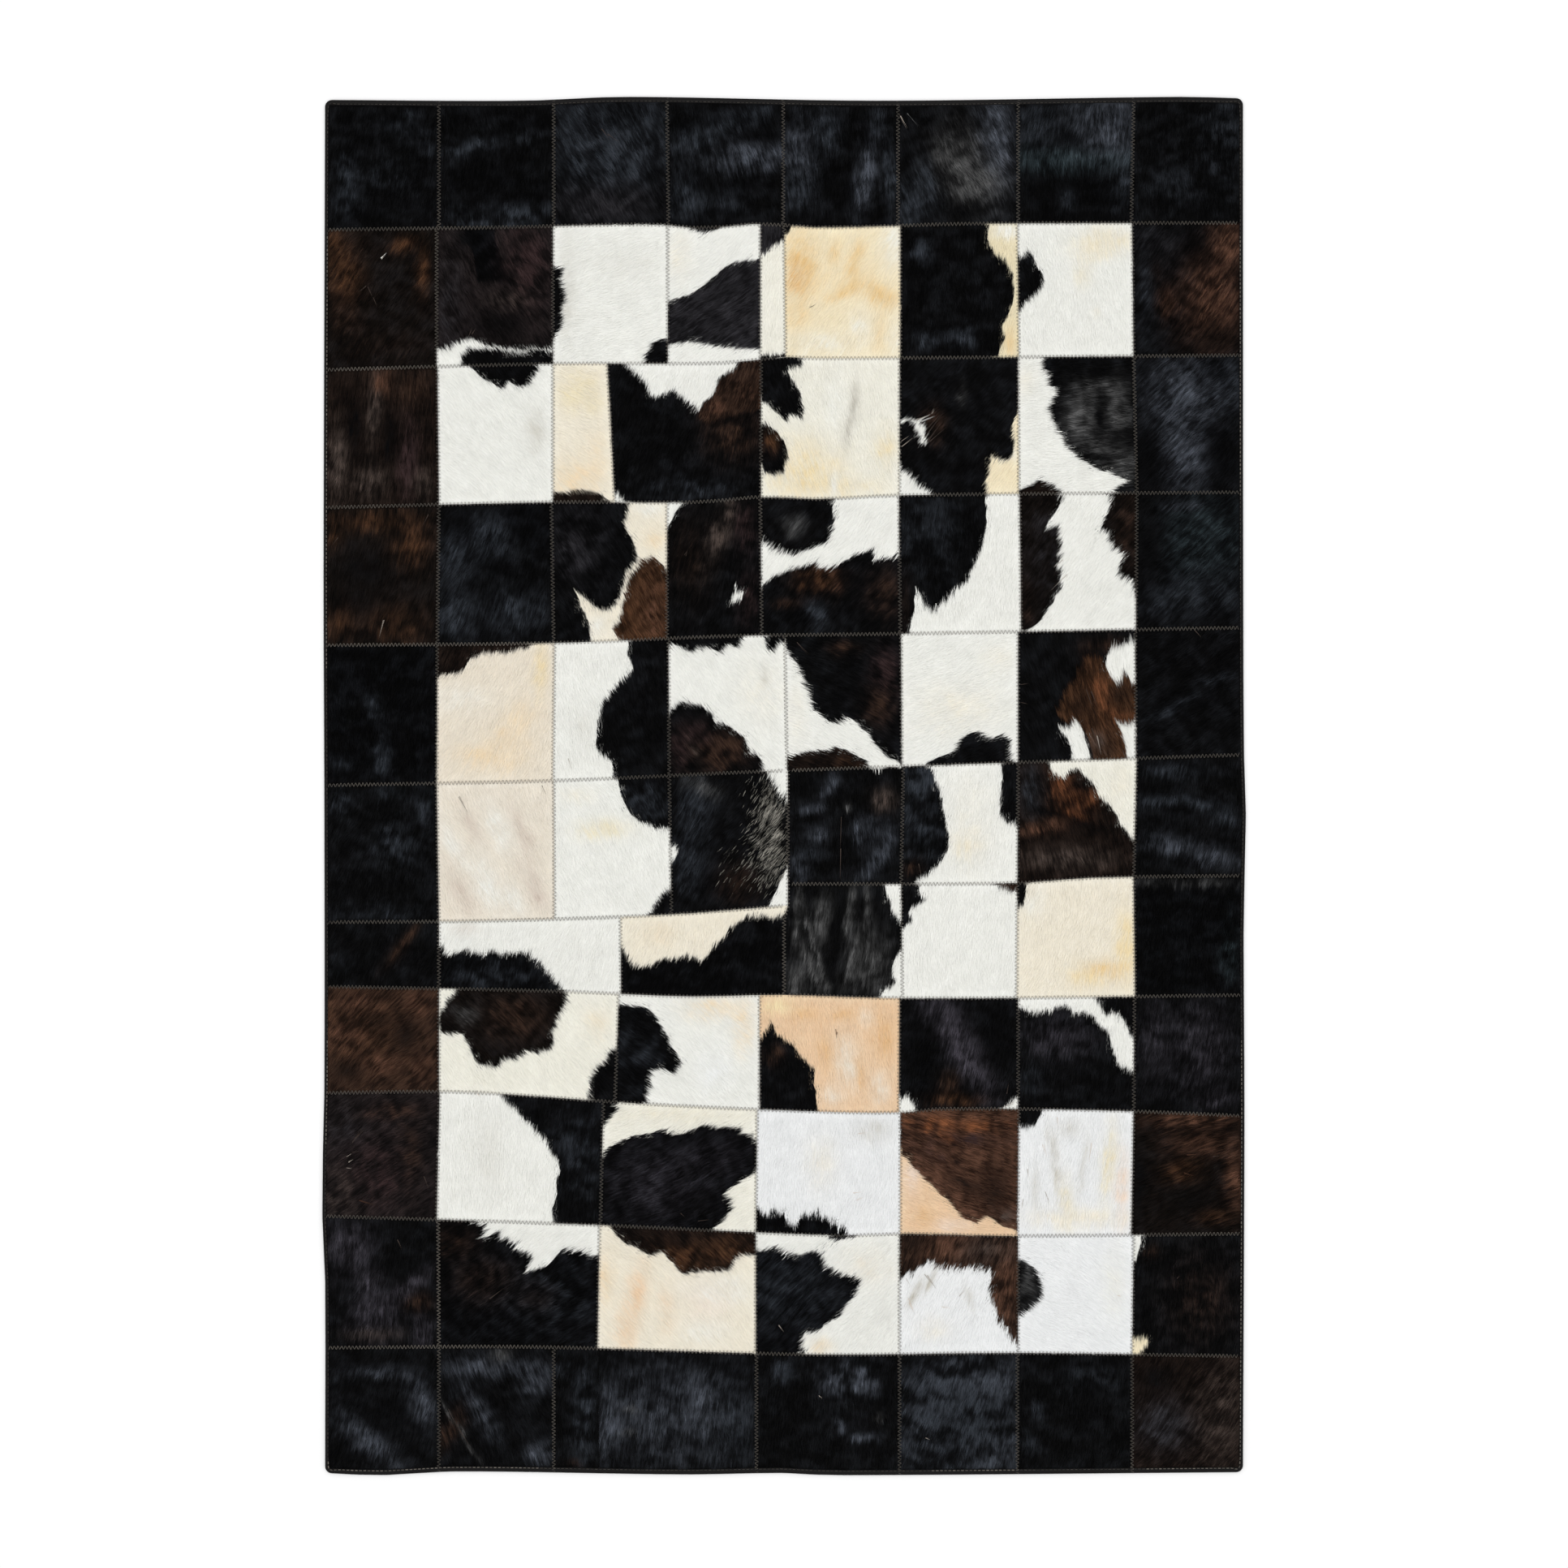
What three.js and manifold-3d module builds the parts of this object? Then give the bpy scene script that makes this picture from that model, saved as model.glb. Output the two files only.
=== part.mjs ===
// Cowhide patchwork rug, lying flat, hair side up.
// Eighty-five cut patches are sewn edge to edge into strips, and the strips are sewn to each other.
// Each strip is one solid: a flat underside, the height of the hide with its lying hair, and soft
// valleys where a seam draws the edges down. Millimetres, +X to the right, +Y to the head end, +Z up.
// The origin is on the underside, in the middle of the rug.

import * as THREE from "three";
import { mergeVertices } from "three/addons/utils/BufferGeometryUtils.js";
import Module from "manifold-3d";

const wasm = await Module();
wasm.setup();

// Driving dimensions
const RUG_WIDTH = 1200; // nominal, between the two long hems
const HIDE_THICKNESS = 2.2; // leather and the hair's roots
const HAIR_HEIGHT = 3.3; // how far the lying hair stands above the leather
const SEAM_GAP = 0.3; // between two strips, closed by the zigzag thread
const VALLEY_HALF_WIDTH = 2.5; // a zigzag seam is as wide as its valley
const VALLEY_DEPTH = 2.4;
const CORNER_RADIUS = 9; // outer corners, turned under
const LINE_STEP = 40; // length of the straight pieces that an edge line is made of
const CORNER_STEPS = 4;
const CLOSEST_POINTS = 1; // an edge line drops a point that lies nearer than this to its end

const RUG_HEIGHT = HIDE_THICKNESS + HAIR_HEIGHT;
const HALF_WIDTH = RUG_WIDTH / 2;

// Every line that runs across the rug, as [x, y] where it bends. Between two bends it is a smooth
// curve. The first and the last are the rug's own ends, the others are seams. To the right the upper
// seams climb and most of the lower ones fall, because the strips were cut and sewn by hand.
const LINES = {
  head: [[-600, 897], [-340, 896], [-210, 901], [120, 896], [520, 901], [600, 899]],
  seam_1_2: [[-600, 727], [-380, 730], [-170, 734], [-105, 729], [-30, 735], [40, 730], [250, 735],
    [600, 736]],
  seam_2_3: [[-600, 544], [-300, 552], [-75, 553], [0, 561], [45, 559], [600, 563]],
  seam_3_4: [[-600, 364], [-300, 371], [-110, 371], [-30, 378], [45, 375], [150, 380], [600, 384]],
  seam_4_5: [[-600, 184], [-300, 187], [-70, 196], [150, 199], [600, 207]],
  seam_5_6: [[-600, 1], [-300, 7], [-30, 19], [600, 41]],
  seam_6_7_left: [[-600, -178], [-380, -176], [-150, -168], [5, -156]],
  seam_6_7_right: [[5, -128], [300, -127], [400, -120], [600, -117]],
  seam_7_8: [[-600, -262], [-300, -268], [-130, -275], [0, -273], [130, -277], [300, -277], [600, -273]],
  seam_8_9: [[-600, -401], [-420, -400], [-190, -415], [0, -424], [150, -427], [200, -422], [420, -424],
    [600, -431]],
  seam_9_10: [[-600, -562], [-240, -574], [80, -588], [150, -585], [300, -588], [600, -585]],
  seam_10_11: [[-600, -734], [-330, -733], [40, -743], [300, -741], [600, -745]],
  foot: [[-600, -898], [-530, -901], [-430, -896], [-130, -900], [0, -898], [60, -901], [600, -897]],
};

// How far each long hem stands out beyond the nominal width, as [y, distance] from foot to head.
const HEMS = {
  left: [[-900, 0], [-640, 0], [-545, 4], [-400, 1], [0, 1], [260, 2], [900, 0]],
  right: [[-900, 0], [-430, 2], [-140, 1], [-90, 4], [-40, 4], [70, 1], [900, 0]],
};

// The middle seam, as [x, y] from head to foot. It joins the halves of strips 6 and 7, and its
// upper part lies a little to the right of its lower part.
const MIDDLE_SEAM = [[5, 60], [5, -156], [0, -175], [0, -300]];

// The strips, head to foot, and where the seams between their patches meet the line above (top)
// and the line below (foot). Strips 6 and 7 are each sewn in two lengths: there half names the side
// of the middle seam that the length lies on.
const STRIPS = [
  { name: "strip_01", above: "head", below: "seam_1_2", color: 0x15181c,
    cuts: [[-451, -451], [-301, -301], [-153, -151], [-1, -1], [149, 149], [306, 306], [457, 454]] },
  { name: "strip_02", above: "seam_1_2", below: "seam_2_3", color: 0xb8ac9a,
    cuts: [[-454, -454], [-302, -302], [-152, -152], [-31, -31], [0, 2], [152, 152], [305, 307],
      [455, 457]] },
  { name: "strip_03", above: "seam_2_3", below: "seam_3_4", color: 0xa99c8b,
    cuts: [[-453, -451], [-302, -302], [-231, -221], [-30, -30], [151, 151], [306, 307], [457, 461]] },
  { name: "strip_04", above: "seam_3_4", below: "seam_4_5", color: 0x5d5650,
    cuts: [[-451, -453], [-304, -301], [-153, -153], [-31, -29], [150, 152], [308, 310], [461, 460]] },
  { name: "strip_05", above: "seam_4_5", below: "seam_5_6", color: 0xb4a998,
    cuts: [[-453, -454], [-300, -302], [-151, -150], [1, 4], [153, 154], [306, 306], [459, 460]] },
  { name: "strip_06_left", above: "seam_5_6", below: "seam_6_7_left", color: 0xa59c8f, half: "left",
    cuts: [[-454, -451], [-301, -300], [-150, -147]] },
  { name: "strip_06_right", above: "seam_5_6", below: "seam_6_7_right", color: 0x5b534c, half: "right",
    cuts: [[156, 153], [306, 305], [461, 457]] },
  { name: "strip_07_left", above: "seam_6_7_left", below: "seam_7_8", color: 0xaaa193, half: "left",
    cuts: [[-451, -451], [-214, -213]] },
  { name: "strip_07_right", above: "seam_6_7_right", below: "seam_7_8", color: 0xb0a695, half: "right",
    cuts: [[153, 155], [305, 304], [457, 459]] },
  { name: "strip_08", above: "seam_7_8", below: "seam_8_9", color: 0x8d8274,
    cuts: [[-451, -451], [-216, -221], [-32, -32], [151, 150], [306, 306], [458, 457]] },
  { name: "strip_09", above: "seam_8_9", below: "seam_9_10", color: 0xa89b8c,
    cuts: [[-450, -454], [-236, -240], [-35, -37], [152, 152], [307, 305], [457, 454]] },
  { name: "strip_10", above: "seam_9_10", below: "seam_10_11", color: 0x9c8f7f,
    cuts: [[-452, -451], [-241, -244], [-37, -37], [151, 151], [306, 306], [457, 455]] },
  { name: "strip_11", above: "seam_10_11", below: "foot", color: 0x16191e,
    cuts: [[-451, -451], [-301, -301], [-242, -242], [-36, -36], [151, 151], [305, 305], [455, 455]] },
];

// The value at one place on a line that runs smoothly through its bends (a cubic between each two,
// level beyond the ends). Bends are [place, value], by rising place.
function smoothAt(bends, place) {
  const last = bends.length - 1;
  const beyond = bends.findIndex(([at]) => at > place);
  const from = beyond < 0 ? last - 1 : Math.max(beyond - 1, 0);
  const slopeAt = (i) => {
    const [before, beforeValue] = bends[Math.max(i - 1, 0)];
    const [after, afterValue] = bends[Math.min(i + 1, last)];
    return (afterValue - beforeValue) / (after - before);
  };
  const span = bends[from + 1][0] - bends[from][0];
  const t = Math.min(Math.max((place - bends[from][0]) / span, 0), 1);
  return (2 * t ** 3 - 3 * t ** 2 + 1) * bends[from][1] + (t ** 3 - 2 * t ** 2 + t) * span * slopeAt(from)
    + (3 * t ** 2 - 2 * t ** 3) * bends[from + 1][1] + (t ** 3 - t ** 2) * span * slopeAt(from + 1);
}

function lineY(line, x) {
  return smoothAt(LINES[line], x);
}

function hemX(side, y) {
  const proud = smoothAt(HEMS[side], y);
  return side === "left" ? -HALF_WIDTH - proud : HALF_WIDTH + proud;
}

// The points of one line from one x to another, its two ends included.
function pointsAlong(line, fromX, toX) {
  const points = [new THREE.Vector2(fromX, lineY(line, fromX))];
  for (let x = -HALF_WIDTH + LINE_STEP; x < HALF_WIDTH; x += LINE_STEP) {
    if (x > fromX + CLOSEST_POINTS && x < toX - CLOSEST_POINTS) {
      points.push(new THREE.Vector2(x, lineY(line, x)));
    }
  }
  points.push(new THREE.Vector2(toX, lineY(line, toX)));
  return points;
}

// A side of a strip along a long hem, from its top corner to its foot corner.
function hemPoints(strip, side) {
  const edgeX = side === "left" ? -HALF_WIDTH : HALF_WIDTH;
  const topY = lineY(strip.above, edgeX);
  const footY = lineY(strip.below, edgeX);
  return [topY, (topY + footY) / 2, footY].map((y) => new THREE.Vector2(hemX(side, y), y));
}

// A side of a strip along the middle seam, from its top corner to its foot corner.
function middlePoints(strip) {
  const [upperX] = MIDDLE_SEAM[0];
  const [lowerX] = MIDDLE_SEAM.at(-1);
  const topY = lineY(strip.above, upperX);
  const endsHigh = lineY(strip.below, upperX) >= MIDDLE_SEAM[1][1];
  const footX = endsHigh ? upperX : lowerX;
  const footY = lineY(strip.below, footX);
  const bends = MIDDLE_SEAM.filter(([, y]) => y < topY - CLOSEST_POINTS && y > footY + CLOSEST_POINTS);
  return [[upperX, topY], ...bends, [footX, footY]].map(([x, y]) => new THREE.Vector2(x, y));
}

function sidePoints(strip, side) {
  const atMiddle = strip.half && strip.half !== side;
  return atMiddle ? middlePoints(strip) : hemPoints(strip, side);
}

// Replaces a sharp corner by a round one.
function roundCorner(before, corner, after) {
  const start = corner.clone().add(before.clone().sub(corner).setLength(CORNER_RADIUS));
  const end = corner.clone().add(after.clone().sub(corner).setLength(CORNER_RADIUS));
  return new THREE.QuadraticBezierCurve(start, corner, end).getPoints(CORNER_STEPS);
}

// The outline of a strip, counter-clockwise, with the rug's own corners rounded.
function stripOutline(strip) {
  const left = sidePoints(strip, "left");
  const right = sidePoints(strip, "right");
  const top = pointsAlong(strip.above, left[0].x, right[0].x);
  const foot = pointsAlong(strip.below, left.at(-1).x, right.at(-1).x);
  top[0] = left[0];
  top[top.length - 1] = right[0];
  foot[0] = left.at(-1);
  foot[foot.length - 1] = right.at(-1);
  const outline = [];
  const sides = [left, foot, [...right].reverse(), [...top].reverse()];
  sides.forEach((points, index) => {
    const following = sides[(index + 1) % sides.length];
    const corner = points.at(-1);
    outline.push(...points.slice(1, -1));
    const atHead = strip.above === "head" && index >= 2;
    const atFoot = strip.below === "foot" && index <= 1;
    outline.push(...(atHead || atFoot ? roundCorner(points.at(-2), corner, following[1]) : [corner]));
  });
  return outline;
}

// Moves an outline inwards, so that two neighbours keep the seam gap between them.
function drawIn(outline, distance) {
  return outline.map((point, index) => {
    const before = outline[(index + outline.length - 1) % outline.length];
    const after = outline[(index + 1) % outline.length];
    const into = point.clone().sub(before).normalize();
    const out = after.clone().sub(point).normalize();
    const inward = new THREE.Vector2(-into.y - out.y, into.x + out.x).normalize();
    const reach = distance / Math.max(inward.dot(new THREE.Vector2(-into.y, into.x)), 0.3);
    return point.clone().addScaledVector(inward, reach);
  });
}

// Turns a three.js geometry into a solid that can be cut, and back.
function toSolid(geometry) {
  geometry.deleteAttribute("normal");
  geometry.deleteAttribute("uv");
  const merged = mergeVertices(geometry, 1e-4);
  return new wasm.Manifold(new wasm.Mesh({
    numProp: 3,
    vertProperties: new Float32Array(merged.attributes.position.array),
    triVerts: new Uint32Array(merged.index.array),
  }));
}

function toGeometry(solid) {
  const mesh = solid.getMesh();
  const geometry = new THREE.BufferGeometry();
  geometry.setAttribute("position", new THREE.BufferAttribute(mesh.vertProperties, 3));
  geometry.setIndex(new THREE.BufferAttribute(mesh.triVerts, 1));
  geometry.computeVertexNormals();
  return geometry;
}

// A slab whose upper edges slope down into the seams, and whose underside is flat.
function stripSlab(outline) {
  const slab = new THREE.ExtrudeGeometry(new THREE.Shape(outline), {
    depth: RUG_HEIGHT - VALLEY_DEPTH,
    bevelEnabled: true,
    bevelThickness: VALLEY_DEPTH,
    bevelSize: VALLEY_HALF_WIDTH,
    bevelOffset: -VALLEY_HALF_WIDTH,
    bevelSegments: 1,
  });
  const belowUnderside = new THREE.BoxGeometry(3 * RUG_WIDTH, 3 * RUG_WIDTH, 2 * VALLEY_DEPTH);
  belowUnderside.translate(0, 0, -VALLEY_DEPTH);
  return toSolid(slab).subtract(toSolid(belowUnderside));
}

// The valley over a seam between two patches: a three-sided bar that is cut out of the strip's top.
function patchValley(strip, [topX, footX]) {
  const top = new THREE.Vector3(topX, lineY(strip.above, topX), 0);
  const foot = new THREE.Vector3(footX, lineY(strip.below, footX), 0);
  const section = new THREE.Shape([
    new THREE.Vector2(-VALLEY_HALF_WIDTH, 0),
    new THREE.Vector2(0, -VALLEY_DEPTH),
    new THREE.Vector2(VALLEY_HALF_WIDTH, 0),
    new THREE.Vector2(0, VALLEY_DEPTH),
  ]);
  const length = top.distanceTo(foot);
  const bar = new THREE.ExtrudeGeometry(section, { depth: length, bevelEnabled: false });
  const along = top.clone().sub(foot).normalize();
  const up = new THREE.Vector3(0, 0, 1);
  const across = up.clone().cross(along);
  const place = new THREE.Matrix4().makeBasis(across, up, along);
  place.setPosition(foot.x, foot.y, RUG_HEIGHT);
  bar.applyMatrix4(place);
  return toSolid(bar);
}

function makeStrip(strip) {
  let solid = stripSlab(drawIn(stripOutline(strip), SEAM_GAP / 2));
  for (const cut of strip.cuts) {
    solid = solid.subtract(patchValley(strip, cut));
  }
  const material = new THREE.MeshStandardMaterial({ color: strip.color, roughness: 0.55, metalness: 0 });
  const mesh = new THREE.Mesh(toGeometry(solid), material);
  mesh.name = strip.name;
  return mesh;
}

const group = new THREE.Group();
group.name = "cowhide_patchwork_rug";
for (const strip of STRIPS) {
  group.add(makeStrip(strip));
}

export default group;
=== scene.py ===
import math

import bmesh
import bpy
import numpy as np
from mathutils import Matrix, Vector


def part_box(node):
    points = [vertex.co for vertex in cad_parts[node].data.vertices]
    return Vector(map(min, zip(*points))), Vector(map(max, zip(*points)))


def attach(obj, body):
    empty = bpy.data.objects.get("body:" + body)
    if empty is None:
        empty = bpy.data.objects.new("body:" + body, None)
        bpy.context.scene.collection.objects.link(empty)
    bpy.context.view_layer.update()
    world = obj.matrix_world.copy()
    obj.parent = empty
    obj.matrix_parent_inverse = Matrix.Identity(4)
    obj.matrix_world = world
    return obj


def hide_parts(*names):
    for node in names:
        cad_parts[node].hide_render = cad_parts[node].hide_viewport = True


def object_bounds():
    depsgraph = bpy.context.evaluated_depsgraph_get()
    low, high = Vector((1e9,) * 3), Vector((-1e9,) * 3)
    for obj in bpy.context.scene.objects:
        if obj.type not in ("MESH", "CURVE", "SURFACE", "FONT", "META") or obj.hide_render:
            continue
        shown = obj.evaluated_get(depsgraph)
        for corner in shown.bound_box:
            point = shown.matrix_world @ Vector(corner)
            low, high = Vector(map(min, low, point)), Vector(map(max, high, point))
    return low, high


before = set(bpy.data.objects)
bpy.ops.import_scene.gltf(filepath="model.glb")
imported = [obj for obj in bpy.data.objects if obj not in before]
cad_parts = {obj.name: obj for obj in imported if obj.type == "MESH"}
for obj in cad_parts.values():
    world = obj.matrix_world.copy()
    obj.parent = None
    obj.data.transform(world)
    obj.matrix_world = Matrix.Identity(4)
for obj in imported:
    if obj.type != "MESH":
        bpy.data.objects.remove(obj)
cad_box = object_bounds()
bpy.ops.object.select_all(action="DESELECT")

# Lengths are in millimetres, apart from the places on a patch, which are in centimetres. MM turns
# millimetres into Blender's metres.
MM = 0.001

# ---------------------------------------------------------------------------------------------
# The strips' edges and the seams.
# Each strip of hides is cut to the frame's strip: its upper and lower edges are sewn to the next
# strips, and its patches are sewn to each other along the valleys in its top.
# A strip's edges are read from the points that lie at least EDGE_FROM of its height from its middle.
# The rug's own sides are the points beyond HEM_SIDE across and within HEM_SIDE_LENGTH along.

LEVEL = 0.05
VALLEY_WIDTH = 5
VALLEY_TOLERANCE = 0.06
NARROWEST_PATCH = 20
EDGE_FROM = 0.14
HEM_SIDE = 597
HEM_SIDE_LENGTH = 889
STRIP_NAMES = [
    "strip_01", "strip_02", "strip_03", "strip_04", "strip_05", "strip_06_left", "strip_06_right",
    "strip_07_left", "strip_07_right", "strip_08", "strip_09", "strip_10", "strip_11",
]


class Strip:
    """The edges of one strip, in millimetres, read from its solid. Its ring is the outline of the
    underside, and its cuts are the seams between its patches, each as x at the foot and at the head."""

    def __init__(self, name):
        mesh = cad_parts[name].data
        points = np.empty(len(mesh.vertices) * 3)
        mesh.vertices.foreach_get("co", points)
        points = points.reshape(-1, 3) / MM
        self.name = name
        self.left, self.right = points[:, 0].min(), points[:, 0].max()
        ring = points[points[:, 2] < LEVEL]
        self.ring = ring
        self.middle = (ring[:, 1].min() + ring[:, 1].max()) / 2
        self.height = ring[:, 1].max() - ring[:, 1].min()
        beyond = EDGE_FROM * self.height
        self.upper_line = self.line(ring[ring[:, 1] > self.middle + beyond], max)
        self.lower_line = self.line(ring[ring[:, 1] < self.middle - beyond], min)
        inner = (points[:, 0] > self.left + NARROWEST_PATCH) & (points[:, 0] < self.right - NARROWEST_PATCH)
        crown = points[inner & (points[:, 2] > points[:, 2].max() - LEVEL)]
        at_foot, at_head = crown[crown[:, 1] < self.middle], crown[crown[:, 1] > self.middle]
        self.cuts = list(zip(self.valleys(at_foot), self.valleys(at_head)))

    @staticmethod
    def line(points, outermost):
        """The line through the outermost points, one for every half millimetre of x."""
        places = {}
        for x, y, _ in points:
            at = round(x * 2) / 2
            places[at] = outermost(places.get(at, y), y)
        xs = sorted(places)
        return np.array(xs), np.array([places[x] for x in xs])

    @staticmethod
    def valleys(points):
        """The middles of the valleys over the patch seams, whose two brinks lie a valley's width apart."""
        xs = np.unique(np.round(points[:, 0], 2))
        pairs = [(a + b) / 2 for a in xs for b in xs if abs(b - a - VALLEY_WIDTH) < VALLEY_TOLERANCE]
        return [x for i, x in enumerate(pairs) if i == 0 or x - pairs[i - 1] > NARROWEST_PATCH]

    def upper(self, x):
        return np.interp(x, *self.upper_line)

    def lower(self, x):
        return np.interp(x, *self.lower_line)


strips = {name: Strip(name) for name in STRIP_NAMES}
rings = np.concatenate([strip.ring for strip in strips.values()])
hem_sides = {}
for side, chosen in (("left", rings[:, 0] < -HEM_SIDE), ("right", rings[:, 0] > HEM_SIDE)):
    points = rings[chosen & (np.abs(rings[:, 1]) < HEM_SIDE_LENGTH)]
    hem_sides[side] = points[np.argsort(points[:, 1])]


def hem_x(side, y):
    """Where the rug's left or right side lies."""
    points = hem_sides[side]
    return np.interp(y, points[:, 1], points[:, 0])


# ---------------------------------------------------------------------------------------------
# The coats.
# Every patch is cut from another hide, so each has its own ground colour, its own spots and its own
# direction of hair. Places on a patch are in centimetres from its left seam and its foot seam.

# slate, steel, teal and violet are the colours of painted sheen on black hair. grey and soot serve for
# painted sheen too, as well as for grey hairs and grey-black spots.
COATS = {
    "jet": (4, 4, 5), "black": (8, 8, 9), "sable": (19, 14, 11), "soot": (39, 38, 41),
    "slate": (47, 51, 57), "steel": (70, 74, 82), "teal": (49, 59, 63), "violet": (64, 61, 68),
    "grey": (86, 86, 86), "ash": (72, 62, 57), "plum": (46, 34, 34), "dusk": (32, 27, 27),
    "dark_brown": (28, 20, 16), "umber": (52, 37, 29), "brown": (72, 48, 32), "chestnut": (84, 58, 45),
    "rust": (104, 64, 41), "grizzle": (132, 129, 121), "pale": (168, 158, 148),
    "white": (244, 244, 239), "cold_white": (244, 245, 245), "ivory": (245, 243, 233),
    "cream": (245, 239, 224), "sand": (240, 232, 217), "butter": (247, 236, 208),
    "shell": (240, 233, 220), "mink": (216, 202, 190), "blush": (243, 226, 210),
    "straw": (242, 232, 202), "peach": (244, 226, 195), "custard": (244, 228, 188),
    "tan": (240, 212, 178), "gold": (239, 211, 156), "amber": (230, 188, 128), "dirty": (205, 201, 190),
}


def patch(coat, lie, spots=(), lights=(), strands=(), length=1.0, fringe=1.0, brushed=False):
    """lie is where the hair tips point, in degrees, with 270 towards the foot of the rug.
    A spot is (coat, its outline). A soft mark is (coat, x, y, half width, half height, share), and last its
    turn in degrees where it has one: a stain or tint of the coat's own colour, a painted sheen or
    highlight, or the painted shade of a crease. A strand is (coat, root x, root y, tip x, tip y). A longer
    fringe makes the spots' edges more ragged, and on a brushed coat the marks that lighten dark hair,
    painted sheen above all, are less broken into lumps."""
    return {"coat": coat, "lie": lie, "spots": spots, "lights": lights, "strands": strands,
            "length": length, "fringe": fringe, "brushed": brushed}


PATCHES = {}

PATCHES["strip_01"] = [
    patch("black", 262, lights=[("slate", 10.5, 13.5, 2, 1.6, 0.6, 20), ("slate", 14, 11, 1, 2, 0.5),
        ("slate", 8.5, 7, 3, 2, 0.4), ("slate", 3, 7, 1.2, 2.5, 0.6), ("slate", 3, 3.5, 1.5, 2, 0.4)]),
    patch("black", 270, lights=[("slate", 4.5, 10.5, 4, 0.9, 0.7, 15), ("slate", 8, 1.4, 7, 1.2, 0.9, 3),
        ("slate", 11, 12, 3, 1, 0.3), ("jet", 7, 6, 7, 2.5, 0.5)]),
    patch("black", 300, brushed=True, lights=[("slate", 7, 8.6, 6.5, 4.5, 0.9), ("soot", 7, 3, 6, 2.4, 1),
        ("slate", 12, 13, 4, 3, 0.6), ("slate", 4, 13.6, 4, 2.4, 0.6), ("jet", 13.4, 10.5, 0.5, 3, 0.9)],
        strands=[("ash", 6.2, 12.5, 7.4, 11), ("ash", 7, 11.8, 8.6, 10.6)]),
    patch("black", 285, brushed=True, lights=[("slate", 3.5, 11.5, 3.5, 1.5, 0.9, 10),
        ("slate", 9.5, 14, 4, 1.3, 0.8, 15), ("steel", 11, 9.2, 4.5, 1.8, 1, 5),
        ("jet", 11.5, 11.8, 3, 0.9, 0.9, 10), ("slate", 2.5, 4, 2.5, 3, 0.8), ("jet", 4.3, 6, 1, 1, 0.7),
        ("jet", 10, 5.5, 3, 1, 0.7), ("slate", 8, 3.3, 2, 1.5, 0.4)]),
    patch("black", 275, brushed=True, lights=[("slate", 5.3, 12.5, 2, 2.5, 0.9, 20),
        ("steel", 2, 9.5, 2, 4, 0.7), ("slate", 2, 5, 2.4, 2.6, 0.7),
        ("slate", 12.3, 13.5, 0.8, 2, 0.7, -10), ("steel", 10.7, 6.3, 1.1, 4.5, 1, -12),
        ("slate", 14, 7, 1, 4, 1), ("jet", 6.4, 6.5, 1.6, 2, 0.6), ("jet", 8.8, 4, 1, 3, 0.7, 10)]),
    patch("black", 290, brushed=True, lights=[("grey", 8.1, 7.8, 3, 4, 0.9),
        ("steel", 12.9, 10.5, 2.1, 7, 0.9), ("grey", 10.8, 5.5, 2.6, 3.4, 0.8, 25),
        ("slate", 1.5, 2.5, 2, 2.6, 0.8), ("slate", 4.3, 5, 1.4, 3.2, 0.8, 20),
        ("jet", 8.5, 1.8, 3, 1.6, 0.9), ("jet", 7.7, 11.3, 0.8, 0.8, 1), ("jet", 8.2, 9.2, 0.9, 0.6, 1),
        ("jet", 7, 6, 0.9, 0.6, 1), ("jet", 9.9, 7.6, 0.5, 0.9, 0.9)],
        strands=[("pale", 0.3, 14, 1.2, 12.4), ("grey", 1.2, 14.4, 2.6, 12.7)]),
    patch("black", 265, brushed=True, lights=[("teal", 7.5, 8.3, 9, 1.5, 1),
        ("steel", 11.5, 12.5, 4.5, 3.6, 0.9), ("slate", 2.5, 13, 2.8, 3, 0.7, 20),
        ("jet", 7, 11.2, 2.4, 1.1, 0.8, -10), ("jet", 7, 4.2, 7, 2.6, 0.8),
        ("slate", 13.8, 5.5, 1.4, 3, 0.6), ("slate", 6.3, 3, 1, 1.6, 0.5)]),
    patch("black", 270, lights=[("slate", 12, 11, 3, 5, 0.3), ("slate", 5, 5, 4, 3, 0.2)]),
]

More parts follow.
